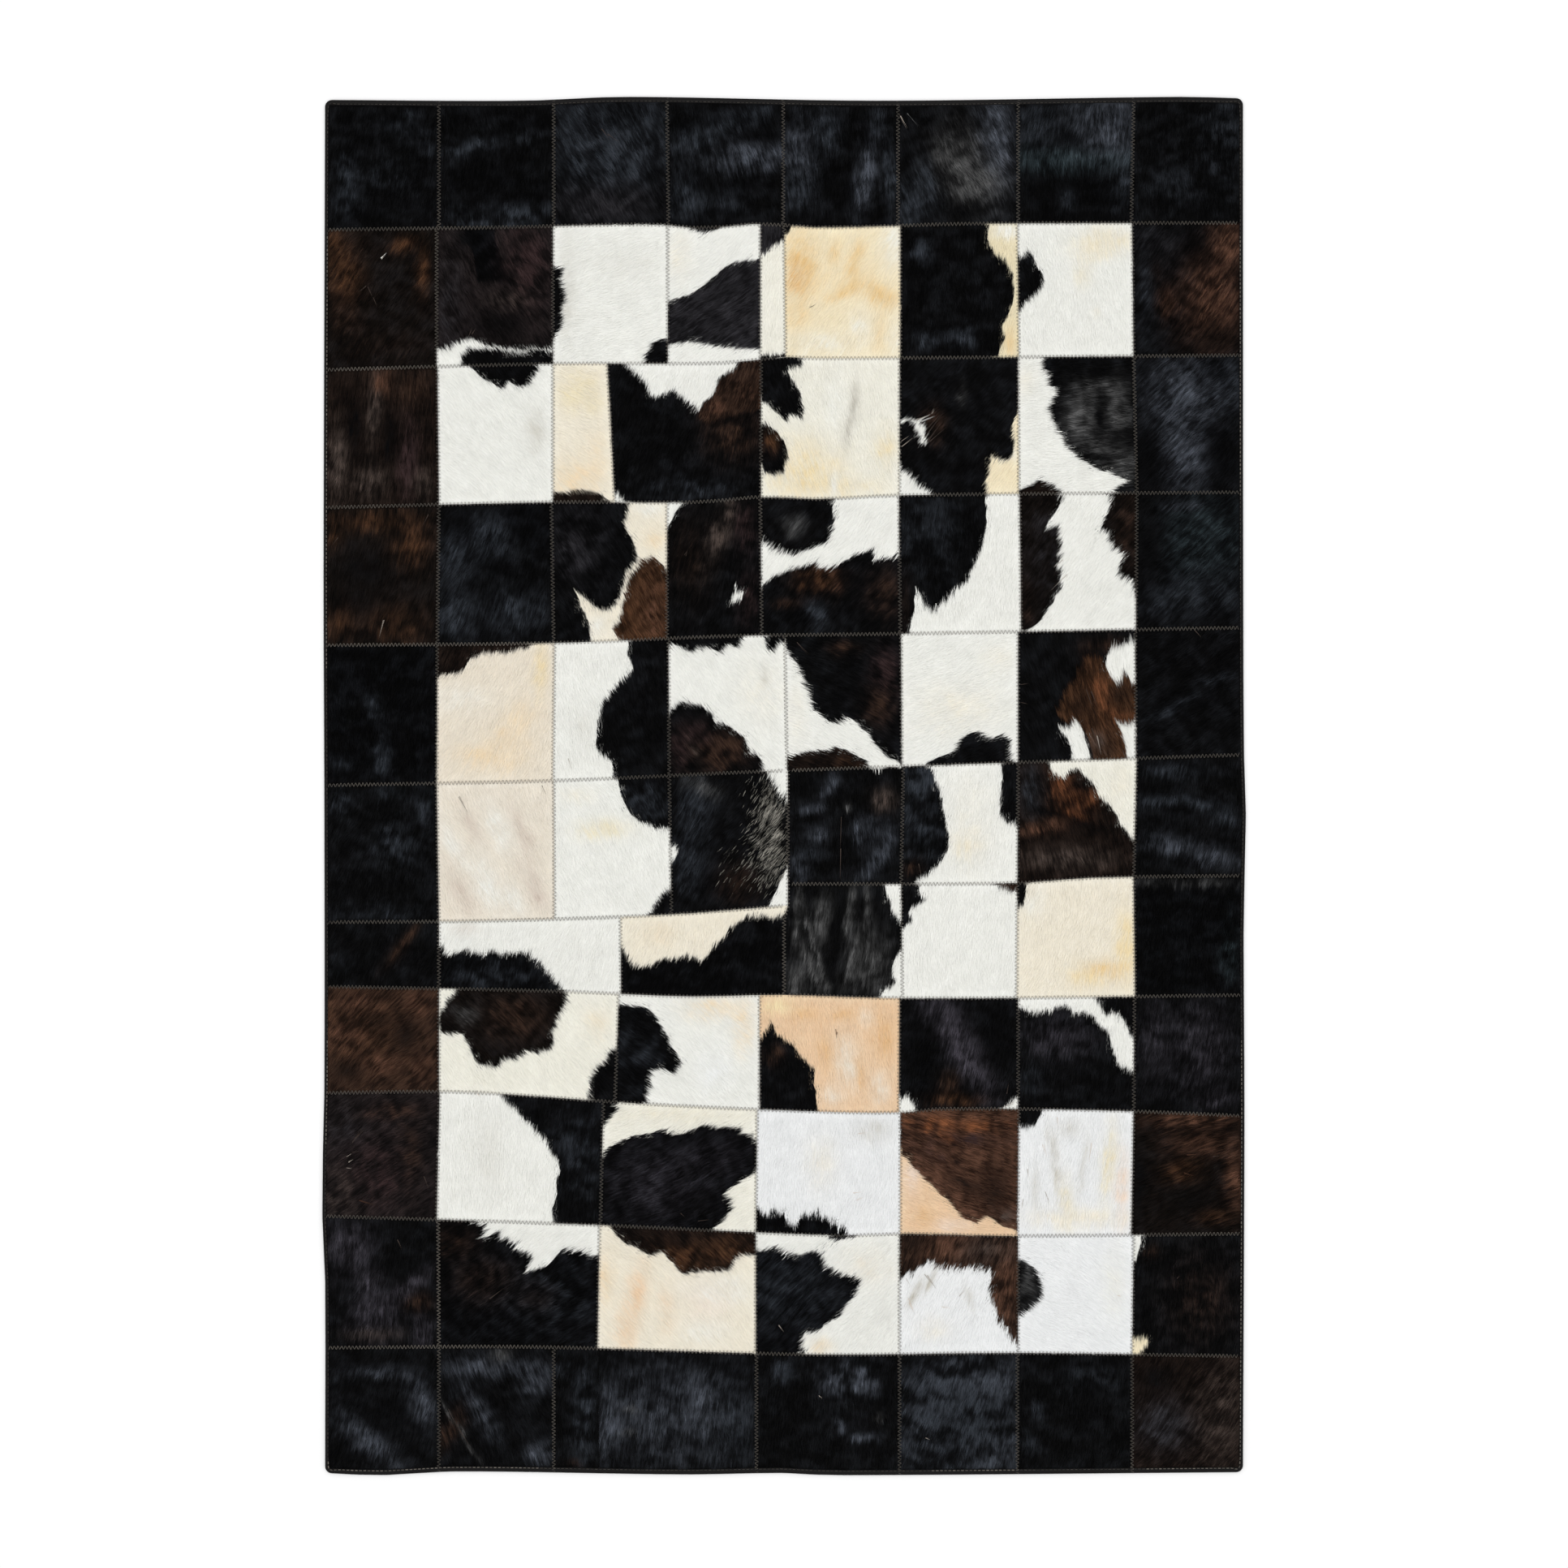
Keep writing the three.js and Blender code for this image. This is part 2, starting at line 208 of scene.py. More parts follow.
PATCHES["strip_02"] = [
    patch("sable", 240, brushed=True, lights=[("brown", 2.5, 12.3, 2.3, 4, 0.7),
        ("brown", 1, 16, 1.5, 1.7, 0.8), ("brown", 12.9, 12.8, 0.9, 3, 0.7),
        ("brown", 10.4, 16.2, 1.6, 1, 0.8, 20), ("umber", 3, 6, 2, 1.8, 0.5), ("umber", 8, 3, 5, 1.6, 0.2)],
        strands=[("white", 7.4, 14.3, 8.1, 15.1), ("pale", 7.5, 14.2, 8, 14.9),
            ("ash", 5.7, 10.6, 6.4, 9.2), ("ash", 6.4, 9.2, 7, 8.1), ("ash", 5.5, 10.6, 4.5, 9.8)]),
    patch("dusk", 300, spots=[
        ("jet", [(3.3, 18.5), (7, 18.5), (8.2, 14.5), (10.3, 10.3), (7.5, 11), (5.2, 10.6), (5, 13.5),
            (4, 16)]),
        ("white", [(-1, 1.9), (2, 2.2), (3.6, 3.2), (4.8, 3.5), (6, 2.7), (10.5, 2.1), (16, 1.9), (16, 1.5),
            (10.5, 1.7), (5, 2.1), (3.4, 1.3), (3.2, -1), (-1, -1)]),
        ("black", [(3.2, -1), (3.3, 1.4), (4.6, 2.1), (8, 1.7), (9.3, 1.1), (11, 1.7), (16, 1.6),
            (16, -1)])],
        lights=[("plum", 11.8, 13, 2.8, 5.5, 1), ("soot", 1.8, 8, 1.8, 6, 0.5),
            ("black", 8.2, 5.2, 3.6, 2.2, 0.9), ("black", 3.4, 16.4, 1.2, 1.6, 0.8),
            ("ash", 9.5, 8.4, 2.6, 1.2, 0.35)],
        strands=[("ash", 4.7, 4, 5.2, 4.9), ("ash", 4.3, 3.8, 4.5, 4.9)]),
    patch("white", 20, spots=[
        ("black", [(-1, 13), (1.4, 12.2), (1, 10.8), (1.7, 8.9), (1.1, 7.2), (1.3, 5.5), (0, 3.2),
            (-1, 3.2)]),
        ("black", [(11.7, -1), (11.8, 0.6), (12.4, 1.9), (13.4, 2.9), (16.5, 3.4), (16.5, -1)])],
        lights=[("dirty", 2, 9.5, 1, 6, 0.4), ("dirty", 9.5, 13, 4, 2, 0.2)]),
    patch("white", 35, spots=[
        ("soot", [(-1, 7.8), (3, 9), (4.5, 10), (6, 11.3), (9, 13.2), (11.5, 13.5), (13.5, 14.9), (13.5, 2),
            (8.5, 2), (4.5, 2.5), (-1, 2.7)]),
        ("black", [(1.6, 18.8), (3, 17.5), (4.7, 17), (6.5, 17.4), (8, 18.8)])],
        lights=[("cream", 1.5, 14, 1.6, 3, 0.5), ("black", 7, 9, 3, 0.7, 0.4, 25)]),
    patch("ivory", 88, spots=[
        ("soot", [(-1, 19), (-1, 13), (0.3, 13.5), (1.8, 14.6), (4.2, 16.2), (4.2, 19)]),
        ("black", [(-1, 0.3), (1.5, 0.5), (4.2, 0.3), (4.2, -1), (-1, -1)])]),
    patch("butter", 60, spots=[
        ("black", [(-1, 19), (-1, 16.3), (0, 16), (0.8, 16.9), (0.9, 19)])],
        lights=[("gold", 2, 12, 2.4, 4.5, 0.9), ("gold", 8.6, 10.8, 5.6, 2.6, 0.2),
            ("amber", 1.6, 10.8, 1.4, 2.2, 0.6), ("gold", 9.2, 12.8, 2.6, 0.9, 0.8, 75),
            ("gold", 6.5, 13.6, 1.6, 0.8, 0.6, 80), ("gold", 7.2, 8.4, 2.2, 0.8, 0.8, 30),
            ("gold", 9.4, 9.4, 1.5, 1.4, 0.5), ("gold", 12, 8.6, 2, 1.1, 0.9, -25),
            ("gold", 13.6, 7.6, 1.6, 1.4, 0.7), ("gold", 1.6, 5.7, 1.6, 2, 0.5),
            ("gold", 12.3, 3.6, 1, 2.6, 0.4), ("ivory", 14.2, 14.5, 1.6, 3, 0.9),
            ("ivory", 5, 2, 5, 1.6, 0.7), ("ivory", 10, 4.4, 1.6, 2.2, 0.7), ("ivory", 14.4, 3, 1, 3, 0.6)],
        strands=[("dark_brown", 3.3, 6.6, 4.1, 7.1)]),
    patch("black", 265, spots=[
        ("straw", [(11.9, 18.8), (11.5, 14.9), (13, 13.2), (14.2, 11.8), (14.9, 8.5), (13.9, 5),
            (13.3, 3.9), (13.7, 2.9), (13, 0.9), (13, -1), (16.5, -1), (16.5, 18.8)])],
        lights=[("white", 13.9, 16.6, 2.4, 1, 0.9), ("slate", 2.7, 13.8, 1.4, 1.6, 0.6),
            ("slate", 3.5, 2.2, 1.4, 1.2, 0.8), ("slate", 8.2, 2.4, 1.8, 1.2, 0.9),
            ("gold", 14.5, 2, 0.8, 2, 0.5)]),
    patch("white", 280, spots=[
        ("black", [(-1, 12.8), (0.3, 13), (1.2, 13.9), (2, 12.8), (2.5, 11.7), (3.4, 10.6), (3, 9.2),
            (1.5, 7.4), (0.4, 6.1), (-1, 6.3)])],
        lights=[("custard", 11.4, 15.3, 3.4, 1.7, 0.5), ("custard", 10, 13.8, 2.8, 1.3, 0.3),
            ("custard", 8.6, 11.1, 1.3, 2, 0.3), ("custard", 10.2, 5.7, 0.5, 0.6, 0.5),
            ("white", 8, 4, 8, 5, 0.9)]),
    patch("black", 235, brushed=True, lights=[("chestnut", 10.5, 7.2, 3.8, 5.3, 0.8),
        ("chestnut", 12.4, 14.8, 2, 3.3, 0.8), ("soot", 3, 14, 3, 4, 0.4),
        ("chestnut", 4.6, 7.2, 1.1, 1.7, 0.6), ("dark_brown", 3, 11, 1, 1.5, 0.8),
        ("dark_brown", 11, 2.2, 3.2, 2, 0.9), ("slate", 1.7, 8.3, 1, 6, 0.4),
        ("jet", 7.8, 14.6, 1.7, 1.5, 0.8)]),
]

PATCHES["strip_03"] = [
    patch("dark_brown", 265, brushed=True, length=1.3, lights=[("ash", 6.6, 12.5, 0.9, 4.6, 1, -5),
        ("chestnut", 7.6, 16, 1.1, 1.6, 0.8), ("ash", 1.9, 5.8, 1.3, 4.4, 0.9),
        ("plum", 11.1, 6.5, 1.5, 5, 1), ("ash", 5.8, 3.2, 2.4, 2.2, 0.7), ("umber", 11.8, 15, 2, 2, 0.8),
        ("jet", 3.9, 10.5, 1.2, 4, 0.9), ("jet", 8.7, 9, 1, 4, 0.9), ("ash", 13, 2.6, 1.2, 2, 0.7)]),
    patch("white", 315, spots=[
        ("black", [(3.7, 19.5), (4.3, 17.8), (5.6, 16.6), (7.3, 15.6), (8.5, 15), (9.2, 15.9), (10.7, 15.2),
            (12, 15.6), (12.7, 16.9), (13.8, 19.5)])],
        lights=[("dirty", 12.7, 9.5, 1.4, 3, 0.4)]),
    patch("cream", 325, spots=[
        ("dark_brown", [(-1, 1.3), (1.6, 1.1), (3.5, 1.6), (5.4, 1.2), (6.9, 0.5), (8.2, -0.5), (8.2, -1.5),
            (-1, -1.5)])],
        lights=[("straw", 3.5, 14.6, 2.7, 2.6, 0.9), ("straw", 5.4, 13, 1, 1.2, 0.8),
            ("peach", 3.2, 3, 3, 2.8, 0.8), ("peach", 5.7, 6.2, 1.5, 3, 0.4)]),
    patch("black", 255, spots=[
        ("umber", [(16.8, 19.5), (16.2, 17.6), (13.9, 15.8), (12, 13), (11.5, 11.3), (12.5, 10.2),
            (15.7, 11.5), (21.5, 12.6), (21.5, 19.5)]),
        ("white", [(2, 19.5), (2.4, 17.5), (4, 16.2), (5.2, 14.2), (6, 13.8), (7.8, 14.7), (9.1, 13.6),
            (11.7, 11.8), (12, 13.2), (13.6, 14.5), (13.9, 15.9), (16.2, 17.7), (16.6, 19.5)]),
        ("white", [(-1, 2), (0.4, 1), (2.6, -0.4), (2.6, -1.5), (-1, -1.5)])],
        lights=[("chestnut", 18, 14.1, 1.7, 1.2, 0.8), ("chestnut", 13.6, 12.2, 1.6, 1.3, 0.8),
            ("umber", 16.2, 9, 3.3, 3, 0.8), ("slate", 9.8, 1.8, 4.4, 1.2, 0.8)]),
    patch("ivory", 290, spots=[
        ("black", [(-1, 18.9), (3, 18.5), (3.9, 15.7), (5, 14), (5.7, 11.6), (5.4, 10.5), (4.4, 11),
            (3, 10.3), (1.7, 11.3), (0.6, 12.4), (-1, 13.5)]),
        ("black", [(3, 19.6), (5.6, 19.6), (5.3, 17.3), (4.1, 16.9), (3.3, 17.3)]),
        ("black", [(-1, 10.2), (0.4, 9.9), (1.7, 9), (3.1, 7.3), (3.5, 5.6), (3.1, 4), (1.7, 3), (0.7, 3.2),
            (0.1, 4.6), (-1, 5.2)])],
        lights=[("brown", 1.4, 7.7, 1, 1.6, 0.8), ("custard", 6, 3.7, 4.7, 4, 0.9),
            ("custard", 16.3, 6.5, 1.5, 2.5, 0.5), ("custard", 12, 1.4, 4.2, 1.3, 0.4),
            ("white", 9.8, 12, 1.9, 6, 0.5), ("dirty", 11.8, 10.7, 0.6, 4.4, 0.9, -10),
            ("white", 9.5, 1.8, 0.5, 1.7, 0.9)]),
    patch("black", 50, spots=[
        ("white", [(-1, 10.9), (0.4, 9.9), (2.2, 9.7), (3, 8.9), (3.7, 6.7), (3, 6.7), (2.2, 8.2),
            (1.6, 9.3), (-1, 9.4)]),
        ("white", [(-1, 4.2), (0.3, 3.4), (2.5, 1.1), (4.3, -0.1), (4.5, -1.5), (-1, -1.5)]),
        ("butter", [(16.5, 11.8), (15.2, 10.3), (14.7, 8.4), (14.9, 5.8), (14, 4.3), (12.7, 4.7),
            (11.9, 5.2), (11.8, 3.3), (11.3, 1.7), (11.7, -1.5), (16.5, -1.5)])],
        lights=[("umber", 4.4, 9, 1.5, 2.1, 0.9), ("white", 14.2, 5.3, 1.4, 0.9, 0.8),
            ("grey", 8.2, 13.3, 0.5, 1.5, 0.4)],
        strands=[("pale", 2.2, 9.7, 4.2, 10.5), ("pale", 4.2, 10.5, 4.6, 11.3),
            ("white", 2.3, 9.5, 4, 10.4), ("ash", 3.6, 6.8, 5.6, 9.6), ("ash", 3.4, 7.5, 6, 10.8),
            ("ash", 3.2, 8, 5.4, 10.6), ("ash", 3.9, 6.9, 6, 8.7), ("pale", 0.3, 6.9, 1.4, 7.6),
            ("pale", 0.3, 6.2, 1.7, 7.4), ("white", 2.8, 9.5, 4.7, 10.2)]),
    patch("white", 190, brushed=True, spots=[
        ("black", [(3.2, 19.6), (3.4, 16.4), (4.2, 14.2), (4.9, 13.1), (4.1, 12.1), (4.3, 10), (5.2, 8.2),
            (6.8, 5.6), (8.7, 4.1), (12.2, 2.5), (14.6, 1.7), (12.4, 0.3), (12.4, -1.5), (16.6, -1.5),
            (16.6, 19.6)]),
        ("dark_brown", [(-1, 0.3), (0.9, 0.7), (2.6, 1.6), (4.2, 1.4), (5.7, 0.3), (6, -1.5), (-1, -1.5)])],
        lights=[("grey", 8.2, 10, 2.2, 3.2, 0.9, -15), ("grey", 13, 10.8, 1.3, 3.4, 0.8),
            ("grey", 10.8, 14, 3, 0.9, 0.7), ("grey", 13.6, 3.9, 2.8, 1.8, 0.8, -25),
            ("grey", 10.2, 6.2, 1.6, 1.4, 0.7), ("jet", 10.7, 10.2, 0.9, 2.4, 1),
            ("black", 12.9, 7.3, 2.1, 0.7, 0.9, 40), ("cream", 0.9, 14.7, 1.2, 2, 0.5)]),
    patch("black", 225, brushed=True, lights=[("steel", 6.5, 13, 6.4, 4.2, 0.65),
        ("steel", 6.6, 5, 2.6, 5, 0.75), ("slate", 12, 14, 2, 3, 0.6), ("jet", 1.4, 5, 1.8, 4.5, 0.7),
        ("jet", 11.6, 5, 2.2, 4.5, 0.7)]),
]

PATCHES["strip_04"] = [
    patch("sable", 255, length=1.6, lights=[("brown", 7.5, 16.2, 5, 1.3, 0.8),
        ("brown", 11.5, 13, 2.4, 2.6, 0.7), ("jet", 6, 10, 5, 3, 0.6), ("brown", 9.5, 2.6, 3.6, 2.4, 0.55),
        ("brown", 2.2, 3, 2, 2.4, 0.5), ("brown", 1.2, 15.5, 1.2, 2.5, 0.6), ("jet", 4, 5.5, 4, 2.4, 0.5)],
        strands=[("pale", 7.9, 3.2, 7.3, 0.9), ("ash", 1.9, 14, 1.3, 13.2), ("ash", 13.7, 17, 12.9, 15.5)]),
    patch("black", 250, brushed=True, spots=[
        ("jet", [(7.3, 17.4), (15.8, 19), (15.8, 10.3), (12.7, 10.9), (11.1, 12.8), (9.2, 15.5)])],
        lights=[("slate", 6.8, 14, 3, 2.3, 0.9, -25), ("slate", 2.4, 11.6, 3, 3, 0.6),
            ("slate", 1.8, 3.6, 2.6, 2.7, 0.8), ("slate", 9.8, 4, 3.5, 2.7, 0.8),
            ("jet", 7.8, 9.9, 3.3, 0.8, 0.9), ("jet", 3.1, 15.8, 2, 1.3, 0.8),
            ("slate", 13.9, 4.7, 0.5, 2.1, 0.5)]),
    patch("cream", 300, spots=[
        ("black", [(-1, 19.6), (9.8, 19.6), (10, 17.2), (9.5, 15), (10.5, 13.1), (11.2, 11), (9.6, 8.6),
            (8.8, 5.6), (8, 4.6), (6.5, 4), (5.2, 4.8), (3, 6.5), (3.7, 4.7), (4.6, 2.6), (5, -1),
            (-1, -1)]),
        ("brown", [(10, 8.3), (11, 9.3), (11.6, 10.7), (13.2, 11), (14.5, 9.7), (16.5, 8.2), (16.5, -1),
            (8.6, -1), (8.5, 0.4), (8.1, 1.5), (8.8, 3.1), (9.5, 6.3)])],
        lights=[("soot", 3, 12.5, 3.4, 5, 0.6), ("chestnut", 13.4, 4.3, 1.7, 4.2, 0.6),
            ("white", 5.7, 1.7, 1.3, 1.3, 0.6), ("peach", 13.6, 13.4, 1.5, 1.5, 0.5),
            ("white", 12.6, 17.4, 2.1, 1.1, 0.6)]),
    patch("black", 78, spots=[
        ("white", [(-1, 19.6), (2.7, 18.8), (2.1, 17.4), (1, 16), (-0.3, 14.2), (-1, 14.4)]),
        ("white", [(8.9, 7.6), (9.2, 5.8), (10.1, 6.1), (9.9, 5.1), (8.9, 4.6), (8.3, 5), (8.8, 5.7)])],
        lights=[("dark_brown", 3, 10.3, 3, 5.3, 0.8), ("ash", 7.2, 14, 1.3, 3.9, 0.9, -20),
            ("plum", 10.4, 14.5, 1.4, 3.1, 0.8), ("plum", 10.8, 5, 1.3, 3.1, 0.8)],
        strands=[("ash", 2.4, 10.5, 2.7, 11.4), ("white", 8.5, 4.8, 8.2, 4)]),
    patch("white", 50, fringe=1.9, spots=[
        ("black", [(-1, 19.4), (9.2, 19.4), (9.9, 16), (9.3, 14.2), (9.1, 12.6), (7.8, 11.6), (5, 10.6),
            (3.8, 10.4), (2, 11.3), (-1, 12.4)]),
        ("black", [(-1, 5.6), (0.3, 6.6), (3.4, 8.3), (7.4, 9.5), (8, 8.7), (10.1, 9.2), (11.6, 10.2),
            (14.4, 11.1), (15, 10), (16.4, 10.2), (19.6, 10.8), (19.6, -1.5), (-1, -1.5)])],
        lights=[("grey", 4.2, 14.2, 1.5, 1.3, 0.4), ("brown", 7.4, 7.2, 2.7, 1.7, 0.9),
            ("chestnut", 10.2, 6.9, 0.5, 1.3, 0.7), ("slate", 7.1, 2.3, 1.4, 1.7, 0.9),
            ("umber", 3.4, 4, 1.5, 0.6, 0.8), ("umber", 16.2, 5.2, 2.1, 3.1, 0.6)]),
    patch("black", 262, fringe=2.2, spots=[
        ("white", [(11.4, 19.6), (11.3, 15.9), (11.1, 12.7), (10.2, 9.8), (9.3, 7.6), (7.3, 5.6),
            (5.2, 3.6), (4.1, 2.9), (3.3, 3.9), (1.8, 6.1), (2.1, 3.9), (1.5, 1.8), (1.7, -1.5),
            (16.6, -1.5), (16.6, 19.6)])],
        lights=[("dark_brown", 0.8, 3.2, 0.9, 4.2, 0.7), ("slate", 4, 13, 4, 5, 0.3)]),
    patch("white", 228, fringe=1.8, spots=[
        ("sable", [(-1, 19.6), (5.9, 19.6), (5.3, 16.4), (4.3, 15), (3.4, 13.7), (4.9, 13.3), (5.4, 11.7),
            (5, 10), (5.4, 6.4), (4.2, 3.9), (3.2, 2.1), (1.4, 0.2), (-1, -0.3)]),
        ("sable", [(10.6, 19.6), (11.7, 17), (11.2, 15.4), (11, 13.3), (12.3, 11), (13.4, 9.9), (12.6, 7),
            (14.4, 6.4), (14.6, 5.1), (17, 4.8), (17, 19.6)])],
        lights=[("soot", 3.4, 8.2, 2.5, 7, 0.6), ("umber", 0.8, 3.4, 0.9, 3.2, 0.6),
            ("umber", 14.2, 13.4, 1.9, 4.2, 0.5)],
        strands=[("pale", 6.1, 7.3, 3.8, 5), ("pale", 5.5, 9.2, 4.2, 8.2)]),
    patch("black", 225, brushed=True, lights=[("teal", 8.8, 12, 4.8, 5, 0.55), ("slate", 9, 5, 4.5, 3, 0.4),
        ("slate", 3.4, 3.7, 3, 2.3, 0.5), ("steel", 6, 16.1, 2.5, 0.6, 0.6),
        ("black", 1.8, 10.4, 1.9, 5.8, 0.8)]),
]

PATCHES["strip_05"] = [
    patch("jet", 262, lights=[("slate", 6.3, 9.9, 1, 1.5, 0.6), ("slate", 7.6, 3.6, 1, 2.2, 0.8),
        ("slate", 1.9, 2.9, 1.5, 0.9, 0.5)]),
    patch("sand", 245, spots=[
        ("dark_brown", [(-1, 19.6), (13.6, 19.6), (12.3, 17.9), (10, 17), (7.3, 16.8), (4.5, 16.2),
            (3.7, 15), (2.6, 14.3), (0.7, 13.9), (-1, 13.9)])],
        lights=[("peach", 9.2, 5.3, 2.6, 2.5, 0.8), ("peach", 5.4, 3.6, 3.2, 1.3, 0.8),
            ("white", 3, 11, 4, 2, 0.4), ("custard", 13.5, 15, 0.9, 3.3, 0.8),
            ("peach", 11.3, 8.8, 2.1, 1.9, 0.7), ("peach", 7.6, 2.5, 4.2, 1.4, 0.4)]),
    patch("white", 285, spots=[
        ("black", [(10, 19.4), (9.6, 16.2), (10.3, 14.3), (8.8, 12.8), (7.2, 10.8), (6.1, 8.9), (5.8, 3.5),
            (7.4, 2.3), (7.9, -1.5), (16.6, -1.5), (16.6, 19.4)])],
        lights=[("dirty", 4, 6.3, 1.5, 3.2, 0.2)],
        strands=[("pale", 1.9, 2.6, 2.5, 1)]),
    patch("white", 310, spots=[
        ("black", [(-1, 19.4), (10.3, 19.4), (9, 16.7), (7.5, 16.5), (6.8, 15.8), (5.5, 16.3), (3.1, 15.8),
            (1.7, 16.5), (-1, 16.7)]),
        ("black", [(12.4, 19), (12.8, 16.2), (13.6, 15.9), (14.4, 16.9), (16.6, 17.1), (16.6, 19)]),
        ("black", [(-1, 7), (0.1, 8), (1, 9), (2.5, 9), (4.3, 8.7), (5.7, 7.8), (6, 6.5), (7.4, 6.3),
            (9.9, 4.3), (10.6, 2.4), (11.1, 3), (12.2, 1.6), (13, -1.5), (-1, -1.5)])],
        lights=[("umber", 6.4, 3, 4.4, 2.6, 1), ("plum", 3.6, 4.9, 2, 1.5, 0.9),
            ("plum", 1.2, 2.9, 1.3, 2.3, 0.8), ("ash", 3.5, 2.5, 0.5, 1.9, 0.5, 20),
            ("cream", 12.2, 10.8, 3.2, 4.2, 0.3), ("dirty", 12.6, 12.6, 0.4, 1.1, 0.7)]),
    patch("white", 335, fringe=1.5, spots=[
        ("black", [(-1, 18.9), (0, 16.1), (1.2, 13.7), (2.5, 11.4), (3.6, 8.1), (4.7, 6.9), (6.6, 5.8),
            (8.2, 6.7), (9.2, 5.9), (11.2, 3.9), (12.9, 1.7), (14.3, 0.9), (16.6, -0.7), (16.6, 18.9)]),
        ("dark_brown", [(-1, -0.1), (1.2, 1.6), (2.8, 2.4), (4.7, 2.2), (6.8, 2.8), (9.5, 1.5), (10.6, 0.5),
            (10.8, -1.5), (-1, -1.5)])],
        lights=[("plum", 13, 12.1, 1.6, 3.6, 0.9), ("umber", 12.2, 8.3, 1.9, 2.3, 0.8),
            ("umber", 7.6, 15.8, 1.9, 0.9, 0.7), ("brown", 8.7, 0.7, 1.3, 0.9, 0.7),
            ("cream", 1.3, 7, 1.5, 4.2, 0.3)],
        strands=[("ash", 1.5, 16.5, 3, 14.8)]),
    patch("white", 205, spots=[
        ("black", [(3, 0), (5.6, 1.2), (7.1, 2), (7.7, 3.2), (9.9, 4.3), (12.2, 3.4), (12.9, 3.8),
            (14, 3.2), (14.4, 1.5), (14.6, -1.5), (3, -1.5)])],
        lights=[("cream", 7.3, 7.3, 5.3, 3.2, 0.5), ("cream", 12.6, 13.7, 2.1, 2.1, 0.3)]),
    patch("black", 285, length=1.5, spots=[
        ("brown", [(8.6, 13), (7.1, 10.2), (5.8, 8.2), (5.2, 5.8), (6.7, 4.8), (9, 3.2), (10.1, -1.5),
            (15.2, -1.5), (16.6, 8), (16.6, 10.8), (14, 11.1), (12.2, 11.4), (10.6, 13.4)]),
        ("white", [(12, 14.3), (11.4, 12.4), (12.4, 10.5), (13.5, 10.4), (13.9, 11.9), (14.7, 10.3),
            (16.8, 8.8), (16.8, 16), (14.1, 15.2)]),
        ("white", [(5.2, 4.7), (6.7, 4.1), (7.4, 5.1), (8.2, 4.5), (8.8, 2.3), (9.8, -1.5), (6.7, -1.5),
            (6.8, 2.1), (5.8, 3.6)]),
        ("white", [(12.7, 5), (14.7, 4.9), (16.8, 6.1), (16.8, -1.5), (14.9, -1), (13.7, 3.2)])],
        lights=[("rust", 10.8, 8.4, 1.3, 3.4, 0.8, 20), ("rust", 13, 5.8, 2.2, 1.1, 0.7),
            ("dark_brown", 13.4, 8.6, 1.6, 1.4, 0.8), ("dark_brown", 8.4, 7.4, 1.2, 2.4, 0.7),
            ("ash", 10.9, 1.8, 1.6, 2.2, 0.7), ("umber", 11.5, 15, 2.6, 0.9, 0.9),
            ("jet", 8.4, 12, 1.4, 1, 0.9)],
        strands=[("ash", 8.9, 9.2, 9.8, 6.7), ("ash", 9.5, 9, 10.3, 7.1), ("pale", 10.3, 3.2, 10.9, 0.5),
            ("ash", 9.6, 4.2, 10.7, 1), ("ash", 0.3, 9.8, 1.4, 10), ("ash", 0.5, 7.5, 1.3, 7.3)]),
    patch("black", 215, brushed=True, lights=[("slate", 3.9, 5.7, 2.1, 0.6, 0.8, 20),
        ("slate", 10.6, 10.2, 2.5, 0.5, 0.5, 15), ("slate", 6.4, 7.5, 2.1, 0.5, 0.4, 20)],
        strands=[("ash", 7.8, 16.4, 8.5, 15.5)]),
]

